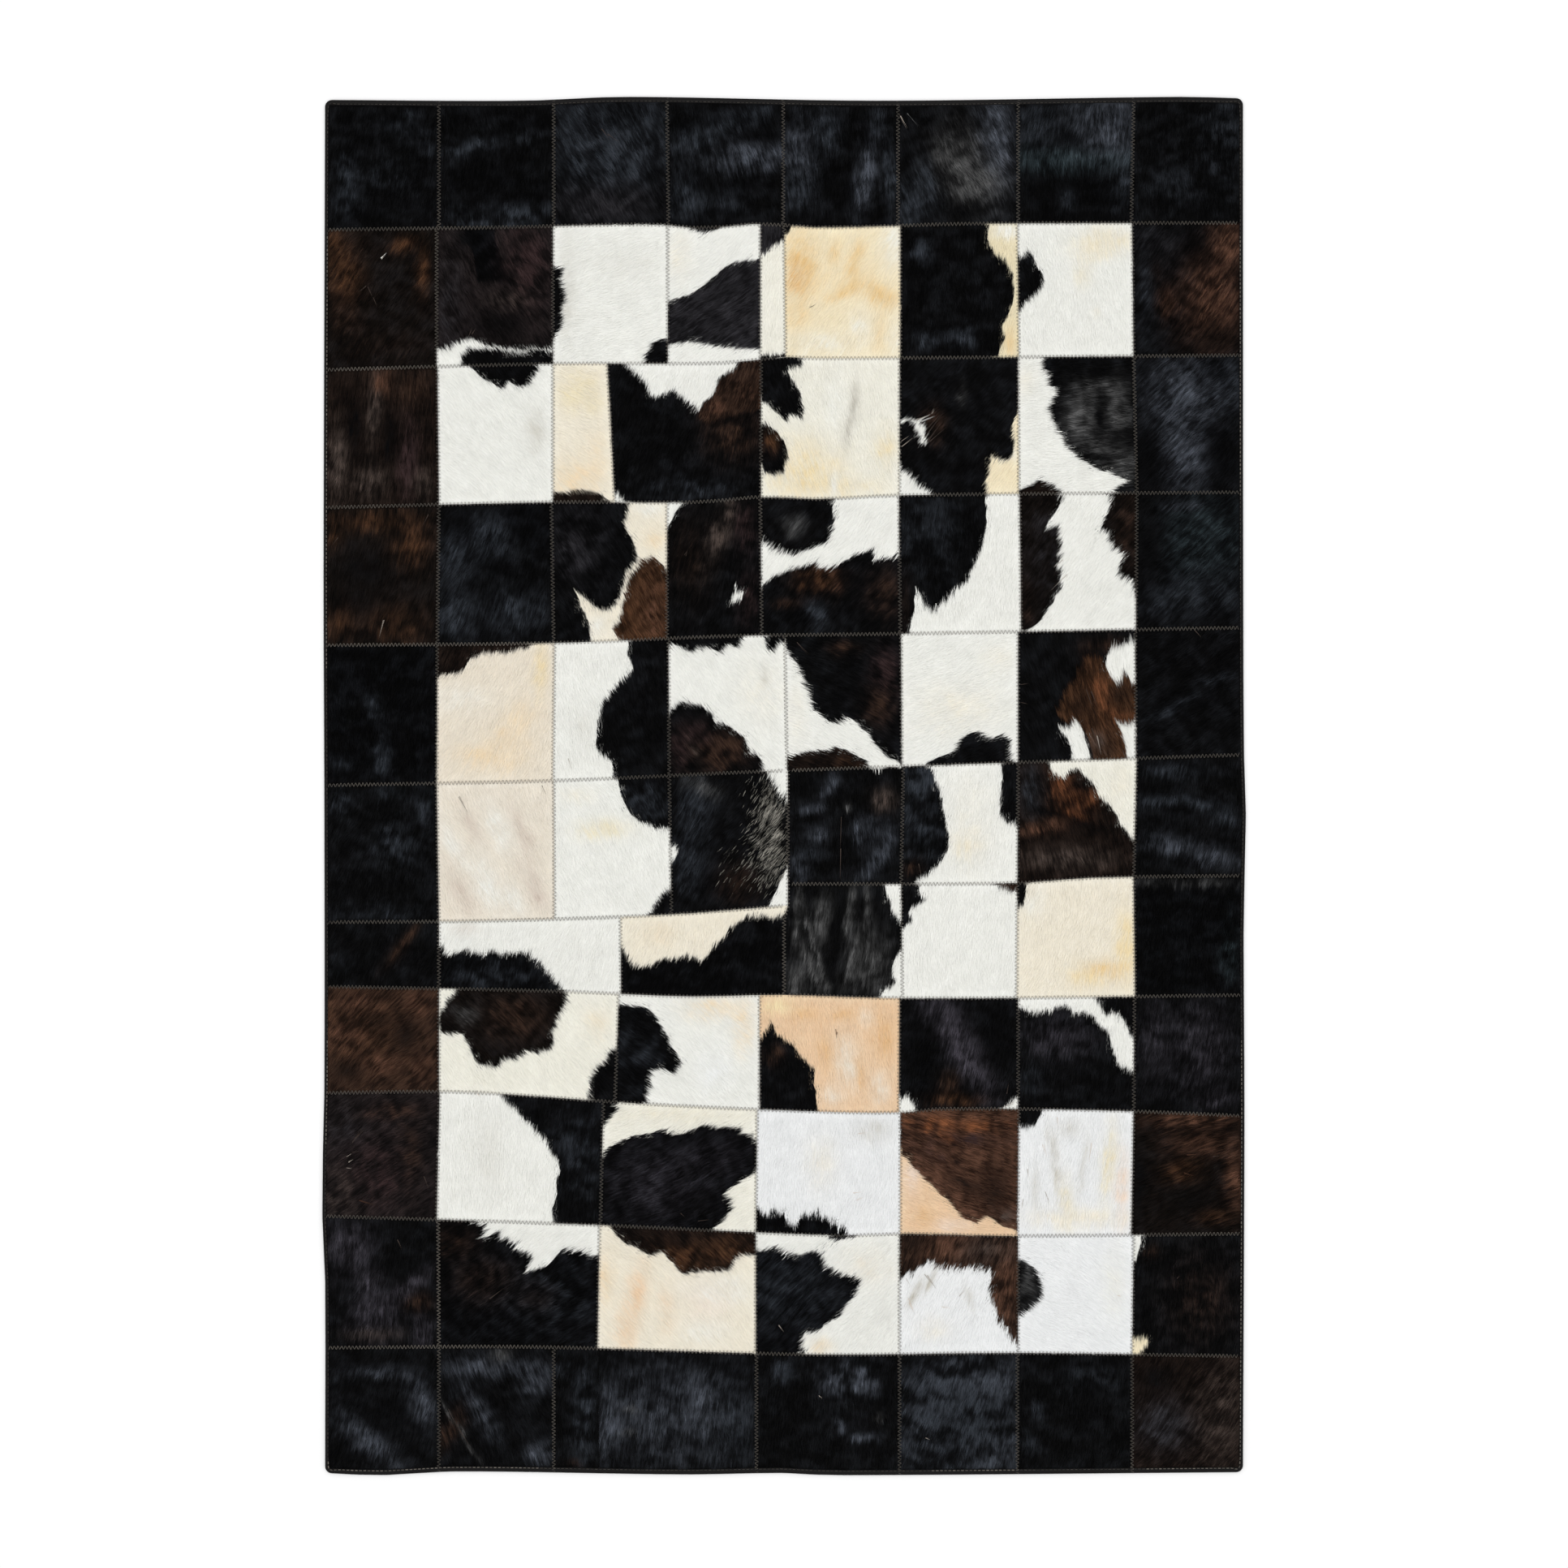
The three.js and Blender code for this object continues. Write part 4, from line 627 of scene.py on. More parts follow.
PATCHES["strip_10"] = [
    patch("black", 265, brushed=True, lights=[("violet", 3.2, 12.8, 2.8, 3.2, 0.6),
        ("violet", 10.6, 7.5, 3.2, 1, 0.9, 35), ("violet", 6.6, 4.1, 2.8, 2.8, 0.9),
        ("violet", 12.9, 2.2, 1.3, 1.9, 0.8), ("umber", 12.2, 5.8, 1.7, 1.1, 0.8),
        ("ash", 6.4, 1.7, 3.2, 0.9, 0.5), ("violet", 5.8, 8.6, 1.5, 1.7, 0.6)],
        strands=[("ash", 9.5, 14.1, 10, 12.8)]),
    patch("black", 35, fringe=2.2, spots=[
        ("white", [(5.1, 18.6), (5.3, 15.6), (6, 14.5), (7.8, 14.7), (9.3, 13.7), (11.1, 12.7),
            (12.2, 11.9), (11.4, 9.6), (13.9, 10.4), (15.4, 11.8), (16.5, 12.7), (18.6, 12.2), (23, 12.1),
            (23, 18.6)])],
        lights=[("umber", 2.1, 13.9, 2.8, 2.1, 0.6), ("umber", 6.4, 8.6, 3.6, 2.5, 0.6),
            ("slate", 14, 7, 8, 5, 0.3), ("umber", 12.7, 6.5, 2.1, 1.7, 0.3)],
        strands=[("ash", 6.7, 6.3, 8.7, 7.7)]),
    patch("cream", 315, spots=[
        ("dark_brown", [(0.5, 18.6), (1.5, 16), (3, 14.3), (4.3, 13.6), (7.2, 12.5), (8.3, 12.9),
            (9.6, 11.6), (11, 10), (13.5, 10.5), (16.2, 10.2), (17.7, 11.1), (18, 12), (20.2, 12.5),
            (23.4, 13), (23.4, 18.6)])],
        lights=[("black", 3.5, 15.7, 2.1, 1.1, 0.6), ("brown", 10.4, 12.2, 3.6, 1.7, 0.9),
            ("brown", 17, 13.2, 3.4, 1.6, 0.6), ("peach", 0.9, 9.5, 1.2, 3, 0.9),
            ("tan", 5, 7.2, 1.4, 4.6, 0.7, -12), ("tan", 3.7, 2.6, 1.5, 2.6, 0.6),
            ("blush", 14.1, 6.8, 3.2, 3.2, 0.5), ("tan", 9, 5.5, 1.2, 3, 0.4),
            ("white", 16, 8, 5, 2.4, 0.6), ("ash", 19.9, 1.1, 1.1, 1.7, 0.5),
            ("white", 14.1, 2.6, 3.2, 2.1, 0.5)]),
    patch("white", 45, fringe=1.5, brushed=True, spots=[
        ("black", [(-1.5, 12.9), (0.2, 13.6), (2.9, 13.9), (4, 13), (8.3, 13.5), (9.1, 12), (10.2, 10.9),
            (13.5, 9.9), (13.1, 7.6), (12, 6.8), (11, 5), (8.6, 3.8), (8.1, 3), (6.1, 2.7), (6.7, -1.7),
            (-1.5, -1.7)]),
        ("black", [(8.8, 17.6), (9.9, 15.2), (11.6, 15.1), (13.5, 15.5), (13.6, 17.6)])],
        lights=[("slate", 5, 9, 6, 5, 0.6), ("peach", 14.7, 11.4, 3.2, 2.5, 0.25),
            ("peach", 8.4, 0.8, 1.5, 1.3, 0.6), ("white", 15, 5.1, 4, 5.3, 0.8)],
        strands=[("pale", 3, 3.8, 3.7, 3)]),
    patch("umber", 255, fringe=1.8, brushed=True, spots=[
        ("cold_white", [(-1.5, 9.1), (0.2, 9.9), (1.9, 10.6), (4.1, 11.7), (5.5, 11.2), (7.1, 10.9),
            (9.9, 11.1), (11.7, 10.6), (11.8, 8.5), (12.3, 6), (13.4, 3.8), (15.7, 0.8), (17, -1.7),
            (-1.5, -1.7)])],
        lights=[("chestnut", 6, 13.6, 4, 2, 0.8), ("dark_brown", 1.8, 14.6, 1.6, 2.1, 0.7),
            ("chestnut", 13.5, 9.3, 1.6, 5, 0.9), ("ash", 11.3, 13.4, 3.2, 1.7, 0.6),
            ("cream", 4.5, 3, 2.1, 1.7, 0.4), ("dirty", 2, 7.8, 0.5, 1.8, 0.9, -25),
            ("dirty", 4, 9.4, 0.4, 1.6, 0.9, -25), ("dirty", 9, 7, 0.5, 1.8, 0.6, 20)],
        strands=[("pale", 0.8, 9.9, 1.6, 8.7), ("pale", 3.2, 10.4, 4.7, 8.5), ("pale", 3.6, 10.2, 4.9, 8.3),
            ("mink", 1.1, 7.2, 1.9, 5.6), ("mink", 1.3, 6.6, 2.1, 5.1), ("pale", 7.8, 7.4, 8.5, 8.3),
            ("mink", 5.5, 6.1, 6.6, 5.9)]),
    patch("cold_white", 330, spots=[
        ("black", [(-1.6, 12.9), (0.2, 12.4), (1.8, 11.4), (2.7, 9.9), (3.3, 8.5), (3.1, 7.4), (1.8, 6.1),
            (0.7, 5), (-1.6, 5.1)])],
        lights=[("grey", 1.2, 9, 1.2, 2.8, 0.5), ("ivory", 12.7, 9.3, 1.5, 4.2, 0.5)],
        strands=[("mink", 13, 7.6, 13.4, 7.5)]),
    patch("black", 265, spots=[
        ("white", [(-1.6, 17.5), (0.7, 17.4), (1.2, 15.7), (0.7, 13.8), (0.3, 12.1), (-1.6, 11.7)]),
        ("butter", [(-1.6, 2.5), (0.4, 2), (1.9, 2.3), (2, 1.4), (0.9, 0.2), (-0.2, -1.7), (-1.6, -1.7)])],
        lights=[("umber", 8.9, 7.4, 4.2, 5.3, 0.3), ("umber", 2.5, 13.2, 1.1, 1.1, 0.5)],
        strands=[("ash", 5.7, 10, 6.1, 10.6)]),
]

PATCHES["strip_11"] = [
    patch("black", 255, brushed=True, lights=[("steel", 12.6, 9.6, 1.4, 2.6, 1, 15),
        ("steel", 6, 4.3, 4.6, 1.4, 0.8, -40), ("steel", 6.8, 13.4, 4.2, 0.8, 0.6),
        ("jet", 8.4, 8.1, 3.2, 2.5, 0.6)]),
    patch("black", 290, brushed=True, lights=[("steel", 6.3, 13.8, 4.6, 1.3, 0.8),
        ("grey", 8, 15, 1.5, 0.8, 0.7, 20), ("grey", 2.6, 5.8, 0.3, 4.2, 0.9, 32),
        ("steel", 12.6, 12.3, 1.7, 1.9, 0.8), ("umber", 1.6, 5.7, 1.2, 3.1, 0.7, -35),
        ("steel", 5.7, 7.5, 1.2, 4.2, 0.6, 30), ("steel", 13, 2.2, 1.5, 1.3, 0.8)],
        strands=[("ash", 1.2, 8.2, 2.6, 5.7), ("ash", 2.6, 5.7, 4.2, 3.2)]),
    patch("black", 265, lights=[("slate", 1.2, 13.4, 0.9, 0.9, 0.8), ("slate", 4.2, 8, 1.4, 6, 0.6),
        ("umber", 2.4, 1.2, 1.3, 0.5, 0.3)]),
    patch("black", 262, brushed=True, lights=[("steel", 1.5, 7, 1.4, 4.2, 0.9),
        ("grey", 4.2, 8.5, 1.1, 0.4, 0.7), ("grey", 4, 5.4, 0.9, 0.4, 0.7),
        ("steel", 13.5, 9.1, 1.7, 3.2, 0.8), ("jet", 17.7, 13.6, 2.3, 0.7, 1, 20),
        ("slate", 17.6, 7, 3, 5, 0.6), ("steel", 9, 8, 7, 6, 0.5)]),
    patch("black", 265, lights=[("steel", 12.5, 12.8, 3.2, 2.1, 0.9), ("slate", 3.5, 13.6, 1.3, 1.7, 0.7),
        ("steel", 11, 6.3, 0.6, 1.1, 0.8, 20), ("steel", 13.6, 4.8, 2.1, 0.4, 0.8),
        ("grey", 15.9, 7.2, 0.5, 0.5, 0.7)],
        strands=[("pale", 8.2, 10.4, 8.6, 10.1)]),
    patch("black", 250, lights=[("steel", 9.2, 12, 5.4, 2.6, 1), ("steel", 11.9, 3.6, 3.2, 3.2, 0.8),
        ("steel", 4.4, 7, 3.6, 4, 0.7), ("slate", 8, 7, 8, 7, 0.8)],
        strands=[("pale", 3.5, 4.8, 4, 4.6)]),
    patch("black", 262, lights=[("slate", 2.8, 8.6, 0.9, 1.1, 0.7), ("slate", 1.6, 3.3, 1.1, 1.5, 0.7),
        ("slate", 9.1, 12.3, 3.2, 1.5, 0.4)]),
    patch("dark_brown", 235, brushed=True, lights=[("soot", 4.2, 6.1, 4.4, 3.4, 1),
        ("black", 3.2, 12.3, 2.8, 2.1, 0.8), ("ash", 11.7, 7, 3.4, 7, 0.5)]),
]

# ---------------------------------------------------------------------------------------------
# The hides.
# Thirteen strips of cowhide, each sewn from patches that meet at their seams, where they are pressed
# flat. The outer patches are raised a little, because the hem's flap runs beneath their edges.

HIDE_THICKNESS = 1.3
HIDE_TOP = 1.75
SEAM_DIP = 0.45
SEAM_DIP_WIDTH = 3.2
SEAM_INSET = 0.03
STRIP_INSET = -0.12
HALF_GAP = 0.15
HEM_INSET = 4.6
HEM_WIDER_AT_ENDS = 1.5
END_INSET = HEM_INSET * HEM_WIDER_AT_ENDS
FLAP_LIFT = 1.1
FLAP_LIFT_BAND = (10, 26)
NEAR_MIDDLE = 8
GRID_AT_SEAM = (1.2, 3.4)
GRID_MARGIN = 8
GRID_STEP = 9.5


def smooth(low, high, value):
    """A soft step from 0 at `low` to 1 at `high`."""
    part = np.clip((value - low) / (high - low), 0, 1)
    return part * part * (3 - 2 * part)


# The middle seam runs along the left edges of the two right-hand lengths, half a gap from them.
middle_seam = np.concatenate([
    strips[name].ring[strips[name].ring[:, 0] < NEAR_MIDDLE, :2]
    for name in ("strip_06_right", "strip_07_right")
])
middle_seam = np.unique(np.round(middle_seam, 2), axis=0) - np.array([HALF_GAP, 0])
middle_seam = middle_seam[np.argsort(middle_seam[:, 1])]


def grid_lines(length):
    """Places along a hide's side, in shares of it: close together at the seams."""
    steps = max(2, round((length - 2 * GRID_MARGIN) / GRID_STEP))
    inner = GRID_MARGIN + (length - 2 * GRID_MARGIN) * np.arange(steps + 1) / steps
    near, next_one = GRID_AT_SEAM
    return np.concatenate([[0, near, next_one], inner, [length - next_one, length - near, length]]) / length


class Plot:
    """The ground of one patch, between its four seams. It turns shares of the patch's width and
    height into millimetres, and measures how far a point is from the nearest seam and hem."""

    def __init__(self, strip, number):
        self.strip = strip
        self.seed = 100 * STRIP_NAMES.index(strip.name) + number
        self.cut_left = strip.cuts[number - 1] if number > 0 else None
        self.cut_right = strip.cuts[number] if number < len(strip.cuts) else None
        self.at_head = strip.name == "strip_01"
        self.at_foot = strip.name == "strip_11"
        self.hem_left = self.cut_left is None and not strip.name.endswith("right")
        self.hem_right = self.cut_right is None and not strip.name.endswith("left")
        first_at_middle = strip.name.endswith("right") and self.cut_left is None
        self.at_middle = first_at_middle or (strip.name.endswith("left") and self.cut_right is None)
        middle_x = (self.side(0.5, "left") + self.side(0.5, "right")) / 2
        self.origin = (self.side(0.5, "left"), float(strip.lower(middle_x)))

    def side(self, share, which):
        """Where the patch's left or right seam lies, at a share of its height."""
        cut = self.cut_left if which == "left" else self.cut_right
        if cut is not None:
            return cut[0] + (cut[1] - cut[0]) * share
        if (self.hem_left if which == "left" else self.hem_right):
            return hem_x(which, self.strip.middle + (share - 0.5) * self.strip.height)
        foot, head = self.beside_middle()
        return np.interp(foot + (head - foot) * share, middle_seam[:, 1], middle_seam[:, 0])

    def beside_middle(self):
        """Where the strip's foot and head seams meet the rug's middle seam."""
        beside = self.strip.left + 3 if self.strip.name.endswith("right") else self.strip.right - 3
        return float(self.strip.lower(beside)), float(self.strip.upper(beside))

    def sides(self, up):
        """The left and right edges of the patch's hide, at shares of its height."""
        left = self.side(up, "left") + (HEM_INSET if self.hem_left else SEAM_INSET)
        right = self.side(up, "right") - (HEM_INSET if self.hem_right else SEAM_INSET)
        return left, right

    def ends(self, x):
        """The foot and head edges of the patch's hide."""
        foot = self.strip.lower(x) + (END_INSET if self.at_foot else STRIP_INSET)
        head = self.strip.upper(x) - (END_INSET if self.at_head else STRIP_INSET)
        return foot, head

    def size(self):
        """The patch's width, and its height between the strip's edges."""
        left, right = self.sides(0.5)
        middle = (left + right) / 2
        return right - left, float(self.strip.upper(middle) - self.strip.lower(middle))

    def rows(self):
        """Where the hide's rows of points lie, in shares of its height. The middle seam's bends have
        their own rows."""
        shares = grid_lines(self.size()[1])
        if self.at_middle:
            foot, head = self.beside_middle()
            bends = (middle_seam[:, 1] - foot) / (head - foot)
            shares = np.sort(np.concatenate([shares, bends[(bends > 0.02) & (bends < 0.98)]]))
        return shares

    def place(self, across, up):
        """Millimetres for shares of the width and height."""
        left, right = self.sides(up)
        x = left + (right - left) * across
        foot, head = self.ends(x)
        return x, foot + (head - foot) * up

    def local(self, x, y):
        """Centimetres from the patch's left seam and its foot seam."""
        return (x - self.origin[0]) / 10, (y - self.origin[1]) / 10

    def gaps(self, x, y):
        """How far points are from the left, right, foot and head edges of the patch's hide."""
        foot, head = self.ends(x)
        left, right = self.sides(np.clip((y - foot) / (head - foot), 0, 1))
        return np.array([x - left, right - x, y - foot, head - y])

    def surface(self, x, y):
        """The height of the hide's upper face. It dips at the seams, and rises over the hem's flap."""
        gaps = self.gaps(x, y)
        hemmed = np.array([self.hem_left, self.hem_right, self.at_foot, self.at_head])
        from_hem = gaps[hemmed].min(axis=0, initial=99.0)
        lift = FLAP_LIFT * (1 - smooth(*FLAP_LIFT_BAND, from_hem))
        return HIDE_TOP + lift - SEAM_DIP * (1 - smooth(0, SEAM_DIP_WIDTH, gaps.min(axis=0)))


def noise(x, y, size, seed):
    """Smooth noise from -1 to 1 whose lumps are about `size` across."""
    table = np.random.default_rng(seed).uniform(-1, 1, (64, 64))
    i, j = np.floor(x / size).astype(int), np.floor(y / size).astype(int)
    u, v = x / size - i, y / size - j
    u, v = u * u * (3 - 2 * u), v * v * (3 - 2 * v)
    near = table[i % 64, j % 64] * (1 - u) + table[(i + 1) % 64, j % 64] * u
    far = table[i % 64, (j + 1) % 64] * (1 - u) + table[(i + 1) % 64, (j + 1) % 64] * u
    return near * (1 - v) + far * v


def linear(rgb):
    """The light that a colour gives, where colours are written as in COATS."""
    part = np.asarray(rgb, float) / 255
    return np.where(part <= 0.04045, part / 12.92, ((part + 0.055) / 1.055) ** 2.4)


OUTLINE_STEPS = 6


def smooth_outline(points):
    """A smooth closed line through the few points of a spot. A sharp corner stays sharp."""
    start = np.array(points, float)
    end = np.roll(start, -1, 0)
    chord = np.hypot(*(end - start).T)[:, None]
    unit = (end - start) / chord
    before = np.roll(unit, 1, 0)
    straight = np.clip((unit * before).sum(1) + 0.2, 0, 1)[:, None]
    onward = (unit + before) * straight / 2
    t = (np.arange(OUTLINE_STEPS) / OUTLINE_STEPS)[:, None, None]
    leaving, arriving = onward * chord, np.roll(onward, -1, 0) * chord
    curve = start * (2 * t**3 - 3 * t**2 + 1) + end * (3 * t**2 - 2 * t**3)
    curve = curve + leaving * (t**3 - 2 * t**2 + t) + arriving * (t**3 - t**2)
    return curve.transpose(1, 0, 2).reshape(-1, 2)


def inside(points, x, y):
    """Which places lie inside a closed line."""
    found = np.zeros(np.shape(x), bool)
    for (x0, y0), (x1, y1) in zip(points, np.roll(points, -1, 0)):
        if abs(y1 - y0) > 1e-9:
            crosses = (y0 > y) != (y1 > y)
            found ^= crosses & (x < (x1 - x0) * (y - y0) / (y1 - y0) + x0)
    return found


# A coat is pale when its brightest part is over PALE_FROM. A soft mark up to DARK_LIGHT_UP_TO belongs to
# the dark hair, and one up to DARKENING_UP_TO makes it darker. Hair up to BLACK_UP_TO gets a painted slate
# sheen.
PALE_FROM = 128
DARK_LIGHT_UP_TO = 132
DARKENING_UP_TO = 30
BLACK_UP_TO = 20
BLACK_SHEEN_SHARE = 0.1
# Painted shade near the roots: light hair is darkened to LIGHT_SHADE, and the skin under dark hair to
# SKIN_SHADE.
LIGHT_FROM = 0.25
LIGHT_SHADE = 0.96
SKIN_SHADE = 0.55


def spotted_ground(spec, x, y, streak, along, across, rng, seed):
    """The colours of a patch's ground and spots, and which of them are pale. The spots' edges are
    fringed by the hair that lies over them."""
    lie = math.radians(spec["lie"])
    fringe = 0.24 * streak + 0.16 * noise(across, 0.3 * along, 0.6, seed + 2)
    fringe = (fringe + rng.normal(0, 0.11, np.shape(x))) * spec["fringe"]
    edge_x = x + fringe * math.cos(lie) + 0.16 * noise(x, y, 0.9, seed + 3)
    edge_y = y + fringe * math.sin(lie) + 0.16 * noise(x, y, 0.9, seed + 4)
    color = np.tile(linear(COATS[spec["coat"]]), (len(x), 1))
    pale = np.full(len(x), max(COATS[spec["coat"]]) > PALE_FROM)
    for coat, points in spec["spots"]:
        found = inside(smooth_outline(points), edge_x, edge_y)
        color[found] = linear(COATS[coat])
        pale[found] = max(COATS[coat]) > PALE_FROM
    return color, pale


def coat_at(spec, x, y, seed):
    """The colour of the hair that grows at a place on a patch, in centimetres."""
    rng = np.random.default_rng(seed)
    lie = math.radians(spec["lie"])
    along = x * math.cos(lie) + y * math.sin(lie)
    across = y * math.cos(lie) - x * math.sin(lie)

    # Tufts lie together in streaks, a few millimetres wide and several times as long.
    streak = noise(across, 0.16 * along, 0.22, seed + 1)
    color, pale = spotted_ground(spec, x, y, streak, along, across, rng, seed)

    # Painted light and shade: the hair is lighter and darker in soft bands that run across its lie, as
    # where it would catch the light or not.
    bend = 0.55 * noise(x, y, 1.9, seed + 7)
    bands = 0.6 * noise(1.3 * along + bend, 0.7 * across - bend, 1.25, seed + 8)
    bands = bands + 0.4 * noise(1.2 * along - bend, 0.8 * across + bend, 0.5, seed + 9)
    lit = smooth(-0.45, 0.6, bands)
    black = ~pale & (color[:, 0] < linear(BLACK_UP_TO))
    black_sheen = np.where(black, BLACK_SHEEN_SHARE * lit * lit, 0)
    color = color + linear(COATS["slate"]) * black_sheen[:, None]

    # Soft marks are stains of the coat's own colour, painted sheen and highlights, and the painted shade of
    # creases. A dark one lies on the dark hair only, and a pale one on the pale hair only.
    for coat, center_x, center_y, wide, high, share, *turn in spec["lights"]:
        angle = math.radians(turn[0]) if turn else 0
        shift = 0.25 * noise(x, y, 1.3, seed + 5) + 0.2 * streak
        u = (x - center_x + shift) * math.cos(angle) + (y - center_y + shift) * math.sin(angle)
        v = (y - center_y + shift) * math.cos(angle) - (x - center_x + shift) * math.sin(angle)
        amount = share * np.exp(-1.1 * ((u / wide) ** 2 + (v / high) ** 2))
        dark_light = max(COATS[coat]) <= DARK_LIGHT_UP_TO
        mottled = dark_light and max(COATS[coat]) > DARKENING_UP_TO and not spec["brushed"]
        broken = 0.2 + 1.3 * lit if mottled else 0.65 + 0.6 * lit
        amount = np.clip(amount * broken * (1 + 0.4 * streak), 0, 1)
        amount = amount * (pale != dark_light)
        if coat == "grizzle":
            amount = 0.85 * (rng.random(len(x)) < amount)
        color += (linear(COATS[coat]) - color) * amount[:, None]

    # Painted light and shade change dark hair much more than pale hair, and every hair is a little
    # different.
    waves = np.where(pale, 0.03 * bands + 0.02 * streak, 1.0 * bands + 0.6 * streak)
    waves = np.where(black, 0.75 * bands + 0.45 * streak, waves)
    single = np.where(pale, 0.02, 0.3) * rng.normal(0, 1, len(x))
    color = color * np.clip(1 + waves + single, 0.3, 2.2)[:, None]
    return np.clip(color, 0.0005, 0.97)


def at_roots(color, dark_shade):
    """The colour near the roots, darkened by painted shade: a little on light hair, and more on dark hair.
    """
    return color * np.where(color.max(1) > LIGHT_FROM, LIGHT_SHADE, dark_shade)[:, None]


def color_points(mesh, color):
    """Keeps a colour in each of the mesh's points, where the materials read it."""
    rgba = np.ones((len(color), 4), np.float32)
    rgba[:, :3] = color
    layer = mesh.attributes.new("coat", "FLOAT_COLOR", "POINT")
    layer.data.foreach_set("color", rgba.ravel())


def select_only(pieces):
    bpy.ops.object.select_all(action="DESELECT")
    for piece in pieces:
        piece.select_set(True)
    bpy.context.view_layer.objects.active = pieces[0]


plots = {}
hides = {}
for name in STRIP_NAMES:
    pieces = []
    for number, spec in enumerate(PATCHES[name]):
        plot = Plot(strips[name], number)
        plots[name, number] = plot
        shares_x = grid_lines(plot.size()[0])
        shares_y = plot.rows()
        bpy.ops.mesh.primitive_grid_add(
            x_subdivisions=len(shares_x) - 1, y_subdivisions=len(shares_y) - 1, size=2
        )
        piece = bpy.context.object
        across, up = np.meshgrid(shares_x, shares_y)
        x, y = plot.place(across.ravel(), up.ravel())
        z = plot.surface(x, y)
        piece.data.vertices.foreach_set("co", (np.stack([x, y, z], 1) * MM).ravel())
        color = coat_at(spec, *plot.local(x, y), plot.seed)
        # The skin takes a painted shade, deepest under dark hair.
        color_points(piece.data, at_roots(color, SKIN_SHADE))
        pieces.append(piece)
    select_only(pieces)
    bpy.ops.object.join()
    hide = bpy.context.object
    hide.name = "hides_" + name.replace("strip_", "")
    hide.data.name = hide.name
    solidify = hide.modifiers.new("thickness", "SOLIDIFY")
    solidify.thickness = HIDE_THICKNESS * MM
    solidify.offset = -1
    solidify.material_offset = 1
    solidify.material_offset_rim = 1
    hides[name] = hide


def fit_to_strip(piece, name):
    """The piece lies on the rug's body, and stands for the strip's solid."""
    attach(piece, "root")
    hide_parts(name)


def new_material(name):
    material = bpy.data.materials.new(name)
    material.use_nodes = True
    nodes = material.node_tree.nodes
    return material, nodes, material.node_tree.links, nodes["Principled BSDF"]


# Hide, hair and thread all have a fine unevenness: a grain from 0 to 1, and a shade between two limits.
fine_grain = bpy.data.node_groups.new("fine_grain", "ShaderNodeTree")
for name in ("Scale", "Detail", "Darkest", "Lightest"):
    fine_grain.interface.new_socket(name, in_out="INPUT", socket_type="NodeSocketFloat")
for name in ("Grain", "Shade"):
    fine_grain.interface.new_socket(name, in_out="OUTPUT", socket_type="NodeSocketFloat")
given = fine_grain.nodes.new("NodeGroupInput")
result = fine_grain.nodes.new("NodeGroupOutput")
position = fine_grain.nodes.new("ShaderNodeTexCoord")
texture = fine_grain.nodes.new("ShaderNodeTexNoise")
shading = fine_grain.nodes.new("ShaderNodeMapRange")
fine_grain.links.new(position.outputs["Object"], texture.inputs["Vector"])
fine_grain.links.new(given.outputs["Scale"], texture.inputs["Scale"])
fine_grain.links.new(given.outputs["Detail"], texture.inputs["Detail"])
fine_grain.links.new(texture.outputs["Fac"], shading.inputs["Value"])
fine_grain.links.new(given.outputs["Darkest"], shading.inputs["To Min"])
fine_grain.links.new(given.outputs["Lightest"], shading.inputs["To Max"])
fine_grain.links.new(texture.outputs["Fac"], result.inputs["Grain"])
fine_grain.links.new(shading.outputs["Result"], result.inputs["Shade"])


def grain_outputs(nodes, scale, detail, darkest=0.0, lightest=1.0):
    """The fine grain, in lumps of 1/scale metres."""
    group = nodes.new("ShaderNodeGroup")
    group.node_tree = fine_grain
    for socket, value in zip(group.inputs, (scale, detail, darkest, lightest)):
        socket.default_value = value
    return group.outputs


def add_coat_color(nodes, links, shader, shade):
    """The colour kept in the mesh's points, made lighter or darker by the grain's shade."""
    coat = nodes.new("ShaderNodeAttribute")
    coat.attribute_name = "coat"
    shaded = nodes.new("ShaderNodeVectorMath")
    shaded.operation = "SCALE"
    links.new(coat.outputs["Color"], shaded.inputs[0])
    links.new(shade, shaded.inputs["Scale"])
    links.new(shaded.outputs["Vector"], shader.inputs["Base Color"])


def add_mixed_color(nodes, links, shader, grain, first, second):
    """Two colours of leather, mixed by the grain."""
    mix = nodes.new("ShaderNodeMix")
    mix.data_type = "RGBA"
    links.new(grain, mix.inputs["Factor"])
    mix.inputs[6].default_value = (*linear(first), 1)
    mix.inputs[7].default_value = (*linear(second), 1)
    links.new(mix.outputs[2], shader.inputs["Base Color"])


def add_bump(nodes, links, shader, height, strength, distance):
    bump = nodes.new("ShaderNodeBump")
    bump.inputs["Strength"].default_value = strength
    bump.inputs["Distance"].default_value = distance * MM
    links.new(height, bump.inputs["Height"])
    links.new(bump.outputs["Normal"], shader.inputs["Normal"])


# The skin between the roots of the hair has the coat's colour, darkened by painted shade.
skin, nodes, links, shader = new_material("cowhide_skin")
add_coat_color(nodes, links, shader, grain_outputs(nodes, 420, 4, 0.85, 1.0)["Shade"])
shader.inputs["Roughness"].default_value = 0.7
shader.inputs["Specular IOR Level"].default_value = 0.03
add_bump(nodes, links, shader, grain_outputs(nodes, 900, 4)["Grain"], 0.4, 0.4)

# The flesh side is split leather, brushed to a nap.
suede, nodes, links, shader = new_material("split_leather")
nap = grain_outputs(nodes, 60, 6)["Grain"]
add_mixed_color(nodes, links, shader, nap, (150, 118, 90), (196, 170, 140))
shader.inputs["Roughness"].default_value = 0.9
shader.inputs["Specular IOR Level"].default_value = 0.1
add_bump(nodes, links, shader, grain_outputs(nodes, 1400, 5)["Grain"], 0.5, 0.3)

